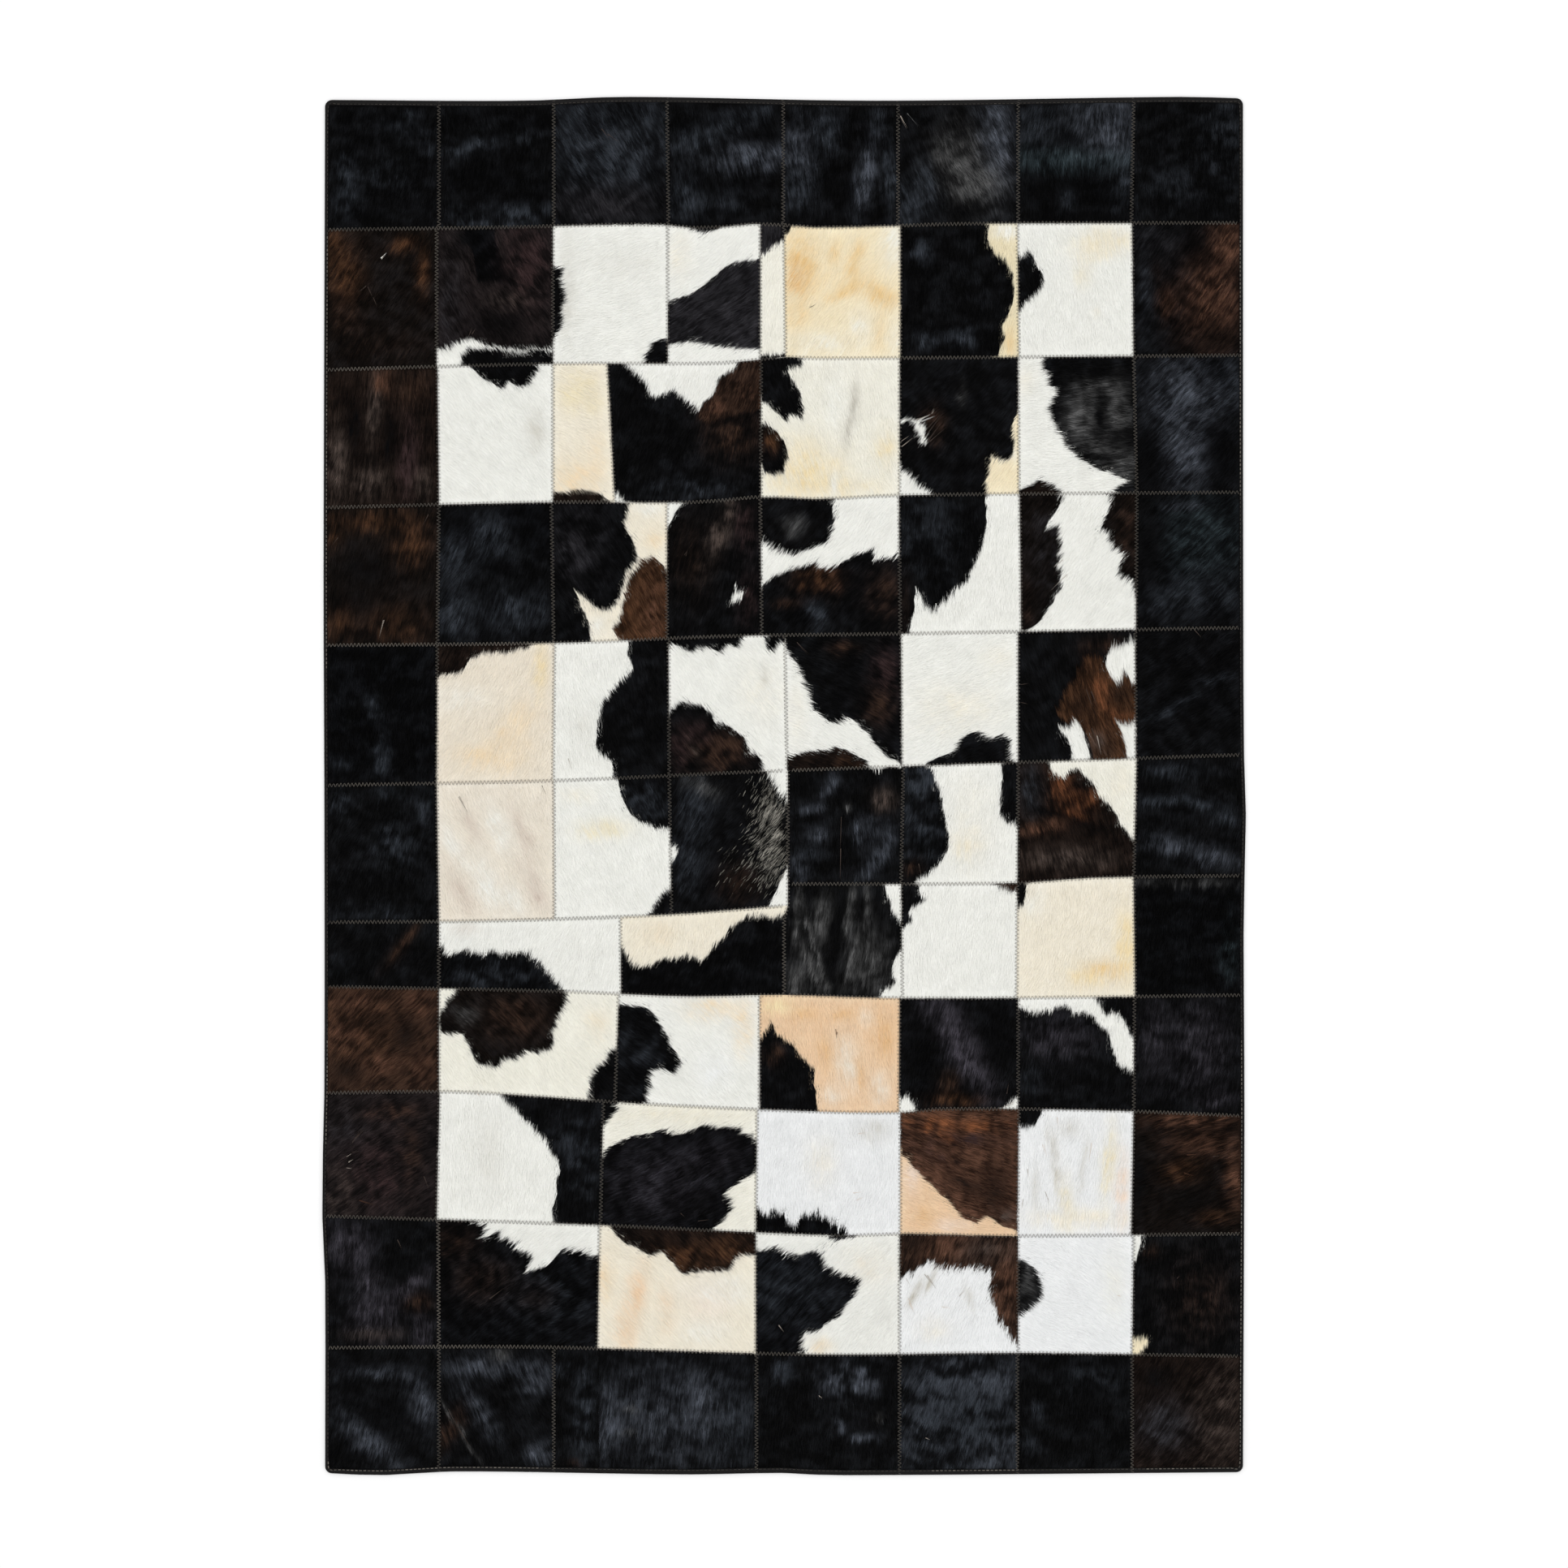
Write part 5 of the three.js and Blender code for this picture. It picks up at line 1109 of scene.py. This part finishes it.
for name, hide in hides.items():
    low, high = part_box(name)
    select_only([hide])
    hide.data.materials.append(skin)
    hide.data.materials.append(suede)
    bpy.ops.object.modifier_apply(modifier="thickness")
    bpy.ops.object.mode_set(mode="EDIT")
    bpy.ops.mesh.select_all(action="DESELECT")
    bpy.ops.mesh.select_mode(type="FACE")
    edit = bmesh.from_edit_mesh(hide.data)
    for face in edit.faces:
        face.select = face.normal.z < -0.8
    bmesh.update_edit_mesh(hide.data)
    bpy.ops.mesh.dissolve_limited(angle_limit=math.radians(2))
    bpy.ops.object.mode_set(mode="OBJECT")
    bpy.ops.object.shade_smooth_by_angle(angle=math.radians(50))
    fit_to_strip(hide, name)

# ---------------------------------------------------------------------------------------------
# The hair.
# Short, flat-lying hair covers every patch. Each patch's hair lies its own way, with whorls and
# clumps, and parts over the seams, where it is shorter.

HAIR_LENGTH = 10.0
HAIR_WIDTH = 1.2
HAIR_SPACING = 1.84
HAIR_RISE = 2.3
HAIR_TOP = 5.4
ROOT_DEPTH = 0.05
ROOT_SHADE = 0.7
TIP_SHADE = 1.04
CROSSING_SHARE = 0.09
CROSSING_REACH = 1.6
SHORN_BEFORE = (0.5, 1.9)
GROWN_OVER = ("strip_11", 2)
OVERGROWTH = 12
STRAND_HALF_WIDTH = 0.24
STRAND_HEIGHTS = (4.6, 4.8, 5.3)


def shorn_lengths(plot, number, x, y, direction, length, rng):
    """A tuft that would lie across a seam is shorn just before it, apart from a few."""
    start = plot.gaps(x, y)
    end = plot.gaps(x + direction[0] * length, y + direction[1] * length)
    crossing = rng.random(len(x)) < CROSSING_SHARE
    limit = np.where(crossing, -CROSSING_REACH, rng.uniform(*SHORN_BEFORE, len(x)))
    keep = np.ones(len(x))
    for side, (near, far) in enumerate(zip(start, end)):
        grown_over = side == 1 and (plot.strip.name, number) == GROWN_OVER
        over = far < (limit - OVERGROWTH if grown_over else limit)
        part = np.clip((near - limit) / np.maximum(near - far, 1e-6), 0.12, 1)
        keep = np.where(over, np.minimum(keep, part), keep)
    return length * keep


def strands_of_patch(spec, plot, rng):
    """Single strands of another colour lie on top of the rest, in pairs."""
    corners, colors = [], []
    for coat, root_x, root_y, tip_x, tip_y in spec["strands"]:
        far = math.hypot(tip_x - root_x, tip_y - root_y)
        for _ in range(2):
            root = (np.array([root_x, root_y]) + rng.normal(0, 0.05, 2)) * 10 + plot.origin
            tip = (np.array([tip_x, tip_y]) + rng.normal(0, 0.07, 2)) * 10 + plot.origin
            wide = np.array([root[1] - tip[1], tip[0] - root[0]]) / (10 * far) * STRAND_HALF_WIDTH
            low, middle, high = STRAND_HEIGHTS
            corners.append([[*(root - wide), low], [*(root + wide), middle], [*tip, high]])
            colors.append(np.tile(linear(COATS[coat]), (3, 1)))
    return np.array(corners).reshape(-1, 3, 3), np.array(colors).reshape(-1, 3, 3)


def hair_of_patch(spec, plot, number):
    """The three corners and the colour of every tuft of hair on a patch."""
    seed = plot.seed
    rng = np.random.default_rng(seed + 7000)
    columns, rows = (round(size / HAIR_SPACING) for size in plot.size())
    across, up = np.meshgrid(np.arange(columns), np.arange(rows))
    across = (across.ravel() + rng.uniform(0, 1, columns * rows)) / columns
    up = (up.ravel() + rng.uniform(0, 1, columns * rows)) / rows
    x, y = plot.place(across, up)

    # The lie of the hair turns in wide whorls and in small clumps.
    swirl = 14 * noise(x, y, 62, seed + 11) + 9 * noise(x, y, 13, seed + 12)
    angle = np.radians(spec["lie"] + swirl + rng.normal(0, 7, len(x)))
    direction = np.stack([np.cos(angle), np.sin(angle)])
    length = HAIR_LENGTH * spec["length"] * rng.uniform(0.72, 1.12, len(x))
    length = shorn_lengths(plot, number, x, y, direction, length, rng)
    tip_x, tip_y = x + direction[0] * length, y + direction[1] * length

    # The tips rise less near a seam.
    from_seam = plot.gaps(tip_x, tip_y).min(axis=0)
    root_z = plot.surface(x, y) - ROOT_DEPTH
    loft = 1 + 0.35 * noise(x, y, 9, seed + 13)
    rise = HAIR_RISE * loft * rng.uniform(0.6, 1.25, len(x)) * (0.3 + 0.7 * smooth(-1, 9, from_seam))
    tip_z = np.minimum(root_z + rise, HAIR_TOP)

    # A tuft is a blade with two corners at its root and one at its tip, rolled a little to one side.
    side = np.stack([-direction[1], direction[0]]) * HAIR_WIDTH / 2 * rng.uniform(0.8, 1.25, len(x))
    roll = rng.normal(0, 0.16, len(x))
    corners = np.stack([
        np.stack([x - side[0], y - side[1], root_z - roll], 1),
        np.stack([x + side[0], y + side[1], root_z + roll], 1),
        np.stack([tip_x, tip_y, tip_z], 1),
    ], 1)

    # Its colours are those of the coat at 0.3 and 0.7 of its length.
    local_x, local_y = plot.local(x, y)
    ahead = direction * length / 10
    root_color = coat_at(spec, local_x + 0.3 * ahead[0], local_y + 0.3 * ahead[1], seed)
    tip_color = coat_at(spec, local_x + 0.7 * ahead[0], local_y + 0.7 * ahead[1], seed)
    # Painted shade darkens the roots, dark hair's most, and a slight painted highlight lightens the tips.
    root_color = at_roots(root_color, ROOT_SHADE)
    colors = np.minimum(np.stack([root_color, root_color, tip_color * TIP_SHADE], 1), 0.98)
    strand_corners, strand_colors = strands_of_patch(spec, plot, rng)
    return np.concatenate([corners, strand_corners]), np.concatenate([colors, strand_colors])


def hair_mesh(name, corners, colors):
    """A mesh of loose tufts, each with its own cell in the UV map."""
    count = len(corners)
    mesh = bpy.data.meshes.new(name)
    mesh.vertices.add(3 * count)
    mesh.vertices.foreach_set("co", (corners.reshape(-1, 3) * MM).astype(np.float32).ravel())
    mesh.loops.add(3 * count)
    mesh.loops.foreach_set("vertex_index", np.arange(3 * count, dtype=np.int32))
    mesh.polygons.add(count)
    mesh.polygons.foreach_set("loop_start", np.arange(0, 3 * count, 3, dtype=np.int32))
    mesh.update(calc_edges=True)
    color_points(mesh, colors.reshape(-1, 3))
    side = math.ceil(math.sqrt(count))
    cell = np.stack([np.arange(count) % side, np.arange(count) // side], 1)[:, None, :]
    corner = np.array([[0.15, 0.15], [0.85, 0.15], [0.5, 0.85]])[None, :, :]
    layer = mesh.uv_layers.new(name="OFBake")
    layer.data.foreach_set("uv", ((cell + corner) / side).astype(np.float32).ravel())
    piece = bpy.data.objects.new(name, mesh)
    bpy.context.collection.objects.link(piece)
    return piece


# The hair is dull, because its sheen, highlights and shade are painted into its coats.
hair_coat, nodes, links, shader = new_material("cow_hair")
add_coat_color(nodes, links, shader, grain_outputs(nodes, 700, 2, 0.9, 1.08)["Shade"])
shader.inputs["Roughness"].default_value = 0.5
shader.inputs["Specular IOR Level"].default_value = 0.03
add_bump(nodes, links, shader, grain_outputs(nodes, 1500, 2)["Grain"], 0.12, 0.3)

for name in STRIP_NAMES:
    grown = [hair_of_patch(spec, plots[name, number], number) for number, spec in enumerate(PATCHES[name])]
    piece = hair_mesh(
        "hair_" + name.replace("strip_", ""),
        np.concatenate([corners for corners, _ in grown]), np.concatenate([colors for _, colors in grown]),
    )
    piece.data.materials.append(hair_coat)
    fit_to_strip(piece, name)

# Each strip lies flat, so it was cut to the size that it has here. Its edges slope, so its area is less
# than its length times its greatest width. The loop below only samples places across each strip, and
# nothing uses them.
for name in STRIP_NAMES:
    x = np.linspace(strips[name].left, strips[name].right, 600)

# ---------------------------------------------------------------------------------------------
# The seams.
# The hides are butted together and joined by a zigzag of thin waxed thread that lies over the seam.
# Hair has grown over one seam of the foot row, so no thread shows there.

STITCH_PITCH = 2.4
STITCH_ACROSS = 5.6
STITCH_RADIUS = 0.38
STITCH_TOP = 3.3
STITCH_ROOT = 1.7
THREAD_UNDERSIDE = -0.4
LOOK_AHEAD = 1.5
THREAD_COLOR = (114, 108, 100)
HAIR_OVER_THREAD = 0.35
PATCH_SEAM_SHADE = 0.9
BRIGHT_CUT = ("strip_10", 0)
BRIGHT_CUT_SHADE = 1.5
BRIGHT_RUNS = [
    ("strip_02", -600, -450, 1.3), ("strip_02", 155, 310, 1.3), ("strip_04", -600, -300, 1.4),
    ("strip_05", 0, 160, 1.2), ("strip_10", -600, -160, 1.4),
]


def along_path(points, pitch):
    """Places at an even pitch along a line, and the line's direction there."""
    steps = np.hypot(*np.diff(points, axis=0).T)
    far = np.concatenate([[0], np.cumsum(steps)])
    count = max(1, int(far[-1] / pitch))
    at = (np.arange(count) + 0.5) * far[-1] / count
    x, y = np.interp(at, far, points[:, 0]), np.interp(at, far, points[:, 1])
    before, after = at - LOOK_AHEAD, at + LOOK_AHEAD
    dx = np.interp(after, far, points[:, 0]) - np.interp(before, far, points[:, 0])
    dy = np.interp(after, far, points[:, 1]) - np.interp(before, far, points[:, 1])
    size = np.hypot(dx, dy)
    return np.stack([x, y], 1), np.stack([dx / size, dy / size], 1)


def threads(starts, ends, low, high, radius):
    """Short legs of thread: a three-cornered ring near each end, and a point where the leg dives
    into the hide."""
    along = ends - starts
    size = np.hypot(*along.T)[:, None]
    side = np.stack([-along[:, 1], along[:, 0]], 1) / size
    low, high, radius = (np.broadcast_to(value, len(starts)) for value in (low, high, radius))
    points = np.empty((len(starts), 8, 3))
    points[:, 0] = np.column_stack([starts, low])
    points[:, 7] = np.column_stack([ends, low])
    for ring, share in enumerate((0.12, 0.88)):
        middle = starts + along * share
        for corner, (across, up) in enumerate(((1, THREAD_UNDERSIDE), (0, 1), (-1, THREAD_UNDERSIDE))):
            place = middle + side * radius[:, None] * across
            points[:, 1 + 3 * ring + corner] = np.column_stack([place, high + radius * up])
    faces = []
    for corner in range(3):
        after = (corner + 1) % 3
        faces.append((0, 1 + after, 1 + corner))
        faces.append((1 + corner, 1 + after, 4 + after))
        faces.append((1 + corner, 4 + after, 4 + corner))
        faces.append((7, 4 + corner, 4 + after))
    return points, np.array(faces)


def coat_under(x, y):
    """The colour of the coats at places on the rug."""
    color = np.tile(linear(COATS["soot"]), (len(x), 1))
    for (name, number), plot in plots.items():
        here = np.flatnonzero(plot.gaps(x, y).min(axis=0) > -0.3)
        if len(here):
            color[here] = coat_at(PATCHES[name][number], *plot.local(x[here], y[here]), plot.seed)
    return color


def thread_piece(name, points, faces, color):
    """One piece of all the legs of thread, dyed at their points."""
    index = (faces[None] + 8 * np.arange(len(points))[:, None, None]).reshape(-1, 3)
    mesh = bpy.data.meshes.new(name)
    mesh.from_pydata((points.reshape(-1, 3) * MM).tolist(), [], index.tolist())
    color_points(mesh, color.reshape(-1, 3))
    piece = bpy.data.objects.new(name, mesh)
    bpy.context.collection.objects.link(piece)
    piece.data.shade_smooth()
    return piece


# For each strip, the seams between its patches and then those to the strips below it. The middle seam
# comes last.
seam_lines = []
for name, upper in strips.items():
    for number, (foot, head) in enumerate(upper.cuts):
        if (name, number) != GROWN_OVER:
            line = np.array([[foot, upper.lower(foot) + 1], [head, upper.upper(head) - 1]])
            shade = BRIGHT_CUT_SHADE if (name, number) == BRIGHT_CUT else PATCH_SEAM_SHADE
            seam_lines.append((line, "", shade))
    for lower in strips.values():
        left, right = max(upper.left, lower.left) + 5, min(upper.right, lower.right) - 5
        if right - left > 200 and abs(upper.ring[:, 1].min() - lower.ring[:, 1].max()) < 40:
            x = np.arange(left, right, 3.0)
            seam_lines.append((np.stack([x, (upper.lower(x) + lower.upper(x)) / 2], 1), name, 1.0))
seam_lines.append((middle_seam, "", 1.0))

thread_rng = np.random.default_rng(5)
starts, ends, tone = [], [], []
for line, name, bright in seam_lines:
    places, direction = along_path(line, STITCH_PITCH)
    zigzag = np.where(np.arange(len(places)) % 2 == 0, 1, -1)[:, None]
    side = np.stack([-direction[:, 1], direction[:, 0]], 1) * zigzag
    across = side * STITCH_ACROSS / 2 * thread_rng.uniform(0.85, 1.1, (len(places), 1))
    slant = direction * STITCH_PITCH / 2 * thread_rng.uniform(0.8, 1.0, (len(places), 1))
    starts.append(places - across - slant)
    ends.append(places + across + slant)
    shade = bright * (1 + 0.25 * noise(places[:, 0], places[:, 1], 90, 31))
    for run_name, run_start, run_end, brighter in BRIGHT_RUNS:
        within = (places[:, 0] > run_start) & (places[:, 0] < run_end)
        shade = np.where(within & (run_name == name), shade * brighter, shade)
    tone.append(shade * thread_rng.uniform(0.8, 1.15, len(places)))
starts, ends, tone = np.concatenate(starts), np.concatenate(ends), np.concatenate(tone)
high = STITCH_TOP + thread_rng.uniform(-0.3, 0.15, len(starts))
points, faces = threads(starts, ends, STITCH_ROOT, high, STITCH_RADIUS)

# The tips of the hair lie over the thread, so each end of a stitch takes on some of its patch's colour.
thread_colors = linear(THREAD_COLOR) * tone[:, None] * (1 - HAIR_OVER_THREAD)
end_colors = [thread_colors + HAIR_OVER_THREAD * coat_under(*places.T) for places in (starts, ends)]
color = np.stack([end_colors[0]] * 4 + [end_colors[1]] * 4, 1)
seam_thread = thread_piece("seam_stitches", points, faces, color)

thread, nodes, links, shader = new_material("waxed_thread")
fibre = grain_outputs(nodes, 1800, 3, 0.85, 1.15)
add_coat_color(nodes, links, shader, fibre["Shade"])
shader.inputs["Roughness"].default_value = 0.65
shader.inputs["Specular IOR Level"].default_value = 0.25
add_bump(nodes, links, shader, fibre["Grain"], 0.5, 0.2)
seam_thread.data.materials.append(thread)
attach(seam_thread, "root")

# ---------------------------------------------------------------------------------------------
# The hem.
# The outer hides, shaved of their hair, are turned under all round the rug, their rolled edge coloured near
# black, and are held by one row of topstitching. Its thread is darkened by painted shade where it sinks
# among the hairs, and is paler and thicker along some runs. The turned-in flap lies flat beneath.

FLAP_DEPTH = 14.0
HEM_SECTION = [
    (0.3, 1.0), (0.0, 2.0), (0.5, 3.1), (2.0, 3.7), (3.5, 3.4), (4.6, 2.4), (5.5, 1.5), (FLAP_DEPTH, 1.2),
    (FLAP_DEPTH, 0.2), (2.0, 0.2), (0.8, 0.5),
]
HEM_STEP = 12.0
CORNER_RADIUS = 9
CORNER_STEPS = 6
HEM_WIDER_AT_CORNERS = 1.2
TOPSTITCH_INSET = 3.7
TOPSTITCH_PITCH = 5.5
TOPSTITCH_HALF_LENGTH = 2
TOPSTITCH_ROOT = 2.7
TOPSTITCH_TOP = 3.5
SUNK_THREAD_RADIUS = 0.4
PALE_THREAD_RADIUS = 0.65
PALE_THREAD_SHADE = 3.2
PALE_THREAD_RUNS = [
    ("left", 150, 720), ("left", -470, -330), ("right", 380, 720), ("right", -880, -330),
    ("foot", -600, -320), ("foot", 190, 310), ("foot", 470, 600),
]


def corner_arc(x, y, first):
    """A quarter turn clockwise about a corner's centre, from the angle `first`, how wide the hem is
    there, and the point beneath the rug where the two flaps meet."""
    angle = np.radians(first - 90 * np.arange(CORNER_STEPS + 1) / CORNER_STEPS)
    points = np.stack([x + CORNER_RADIUS * np.cos(angle), y + CORNER_RADIUS * np.sin(angle)], 1)
    meeting = (
        x - math.copysign(FLAP_DEPTH - CORNER_RADIUS, x),
        y - math.copysign(FLAP_DEPTH * HEM_WIDER_AT_ENDS - CORNER_RADIUS, y),
    )
    return points, HEM_WIDER_AT_CORNERS, meeting


def head_edge(x):
    return strips["strip_01"].upper(x)


def foot_edge(x):
    return strips["strip_11"].lower(x)


left_head, right_head = float(hem_x("left", 880)), float(hem_x("right", 880))
left_foot, right_foot = float(hem_x("left", -880)), float(hem_x("right", -880))
r = CORNER_RADIUS
head_x = np.arange(left_head + r + 6, right_head - r - 5, HEM_STEP)
side_y = np.arange(-876, 877, HEM_STEP)
foot_x = np.arange(right_foot - r - 6, left_foot + r + 5, -HEM_STEP)
rim = [
    (np.stack([head_x, head_edge(head_x)], 1), HEM_WIDER_AT_ENDS, None),
    corner_arc(right_head - r, float(head_edge(right_head - r)) - r, 90),
    (np.stack([hem_x("right", side_y[::-1]), side_y[::-1]], 1), 1.0, None),
    corner_arc(right_foot - r, float(foot_edge(right_foot - r)) + r, 0),
    (np.stack([foot_x, foot_edge(foot_x)], 1), HEM_WIDER_AT_ENDS, None),
    corner_arc(left_foot + r, float(foot_edge(left_foot + r)) + r, -90),
    (np.stack([hem_x("left", side_y), side_y], 1), 1.0, None),
    corner_arc(left_head + r, float(head_edge(left_head + r)) - r, 180),
]
edge = np.concatenate([points for points, _, _ in rim])
wider = np.concatenate([np.full(len(points), wide) for points, wide, _ in rim])
meetings = [meeting for points, _, meeting in rim for _ in points]
onward = np.roll(edge, -1, 0) - np.roll(edge, 1, 0)
onward /= np.hypot(*onward.T)[:, None]
inward = np.stack([onward[:, 1], -onward[:, 0]], 1)

section = np.array(HEM_SECTION)
rings = []
for place, inner, wide, meeting in zip(edge, inward, wider, meetings):
    depth = section[:, :1] * wide
    ring = np.column_stack([place + inner * depth, section[:, 1]])
    if meeting:
        ring[section[:, 0] == FLAP_DEPTH, :2] = meeting
    rings.append(ring)
many, around = len(rings), len(section)
faces = []
for i in range(many):
    j = (i + 1) % many
    for k in range(around):
        m = (k + 1) % around
        faces.append((i * around + k, j * around + k, j * around + m, i * around + m))
hem_mesh = bpy.data.meshes.new("hem")
hem_mesh.from_pydata((np.concatenate(rings) * MM).tolist(), [], faces)
hem = bpy.data.objects.new("hem", hem_mesh)
bpy.context.collection.objects.link(hem)
edit = bmesh.new()
edit.from_mesh(hem_mesh)
bmesh.ops.remove_doubles(edit, verts=edit.verts, dist=0.001 * MM)
bmesh.ops.recalc_face_normals(edit, faces=edit.faces)
edit.to_mesh(hem_mesh)
edit.free()
hem_mesh.shade_smooth()

hem_leather, nodes, links, shader = new_material("hem_leather")
pebbles = grain_outputs(nodes, 900, 5)["Grain"]
add_mixed_color(nodes, links, shader, pebbles, (9, 8, 8), (22, 20, 20))
shader.inputs["Roughness"].default_value = 0.5
shader.inputs["Specular IOR Level"].default_value = 0.1
add_bump(nodes, links, shader, pebbles, 0.5, 0.3)
hem_mesh.materials.append(hem_leather)
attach(hem, "root")

stitched = edge + inward * TOPSTITCH_INSET * wider[:, None]
places, direction = along_path(np.concatenate([stitched, stitched[:1]]), TOPSTITCH_PITCH)
x, y = places.T
sides = {"left": (x < -580, y), "right": (x > 580, y), "foot": (y < -880, x)}
pale_thread = np.zeros(len(places), bool)
for side, run_start, run_end in PALE_THREAD_RUNS:
    on_side, along = sides[side]
    pale_thread |= on_side & (along > run_start) & (along < run_end)
points, faces = threads(
    places - direction * TOPSTITCH_HALF_LENGTH, places + direction * TOPSTITCH_HALF_LENGTH,
    TOPSTITCH_ROOT, TOPSTITCH_TOP, np.where(pale_thread, PALE_THREAD_RADIUS, SUNK_THREAD_RADIUS),
)
# The hem thread is darkened to a painted shade where it sinks among the hairs; along the pale runs it is
# lighter.
shade = thread_rng.uniform(0.15, 0.4, len(places)) * np.where(pale_thread, PALE_THREAD_SHADE, 1)
thread_colors = linear(THREAD_COLOR) * shade[:, None]
topstitch = thread_piece("hem_stitches", points, faces, np.repeat(thread_colors[:, None], 8, 1))
topstitch.data.materials.append(thread)
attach(topstitch, "root")

# ---------------------------------------------------------------------------------------------
# The floor, the light and the camera.
# The rug lies on a white studio floor under soft light, seen from straight above.

CAMERA_HEIGHT = 4.8356
CAMERA_FORWARD = 0.00265
LAMP_PLACE = (0, 0.7, 4.4)
LAMP_TILT = -9
LAMP_WATTS = 51
STUDIO_STRENGTH = 0.885

bpy.ops.mesh.primitive_plane_add(size=12, location=(0, 0, -0.0005))
floor = bpy.context.object
floor.name = "floor"
paper, nodes, links, shader = new_material("white_floor")
shader.inputs["Base Color"].default_value = (0.95, 0.95, 0.95, 1)
shader.inputs["Roughness"].default_value = 1.0
shader.inputs["Specular IOR Level"].default_value = 0.0
floor.data.materials.append(paper)

world = bpy.data.worlds.new("studio")
bpy.context.scene.world = world
world.use_nodes = True
world.node_tree.nodes["Background"].inputs["Color"].default_value = (1, 1, 1, 1)
world.node_tree.nodes["Background"].inputs["Strength"].default_value = STUDIO_STRENGTH

bpy.ops.object.light_add(type="AREA", location=LAMP_PLACE)
lamp = bpy.context.object
lamp.name = "soft_lamp"
lamp.data.shape = "RECTANGLE"
lamp.data.size = 3.0
lamp.data.size_y = 2.0
lamp.data.energy = LAMP_WATTS
lamp.rotation_euler = (math.radians(LAMP_TILT), 0, 0)

bpy.ops.object.camera_add(location=(0, CAMERA_FORWARD, CAMERA_HEIGHT + cad_box[1][2]))
camera = bpy.context.object
camera.data.lens = 85
camera.data.sensor_width = 36
bpy.context.scene.camera = camera
bpy.context.scene.view_settings.view_transform = "Standard"
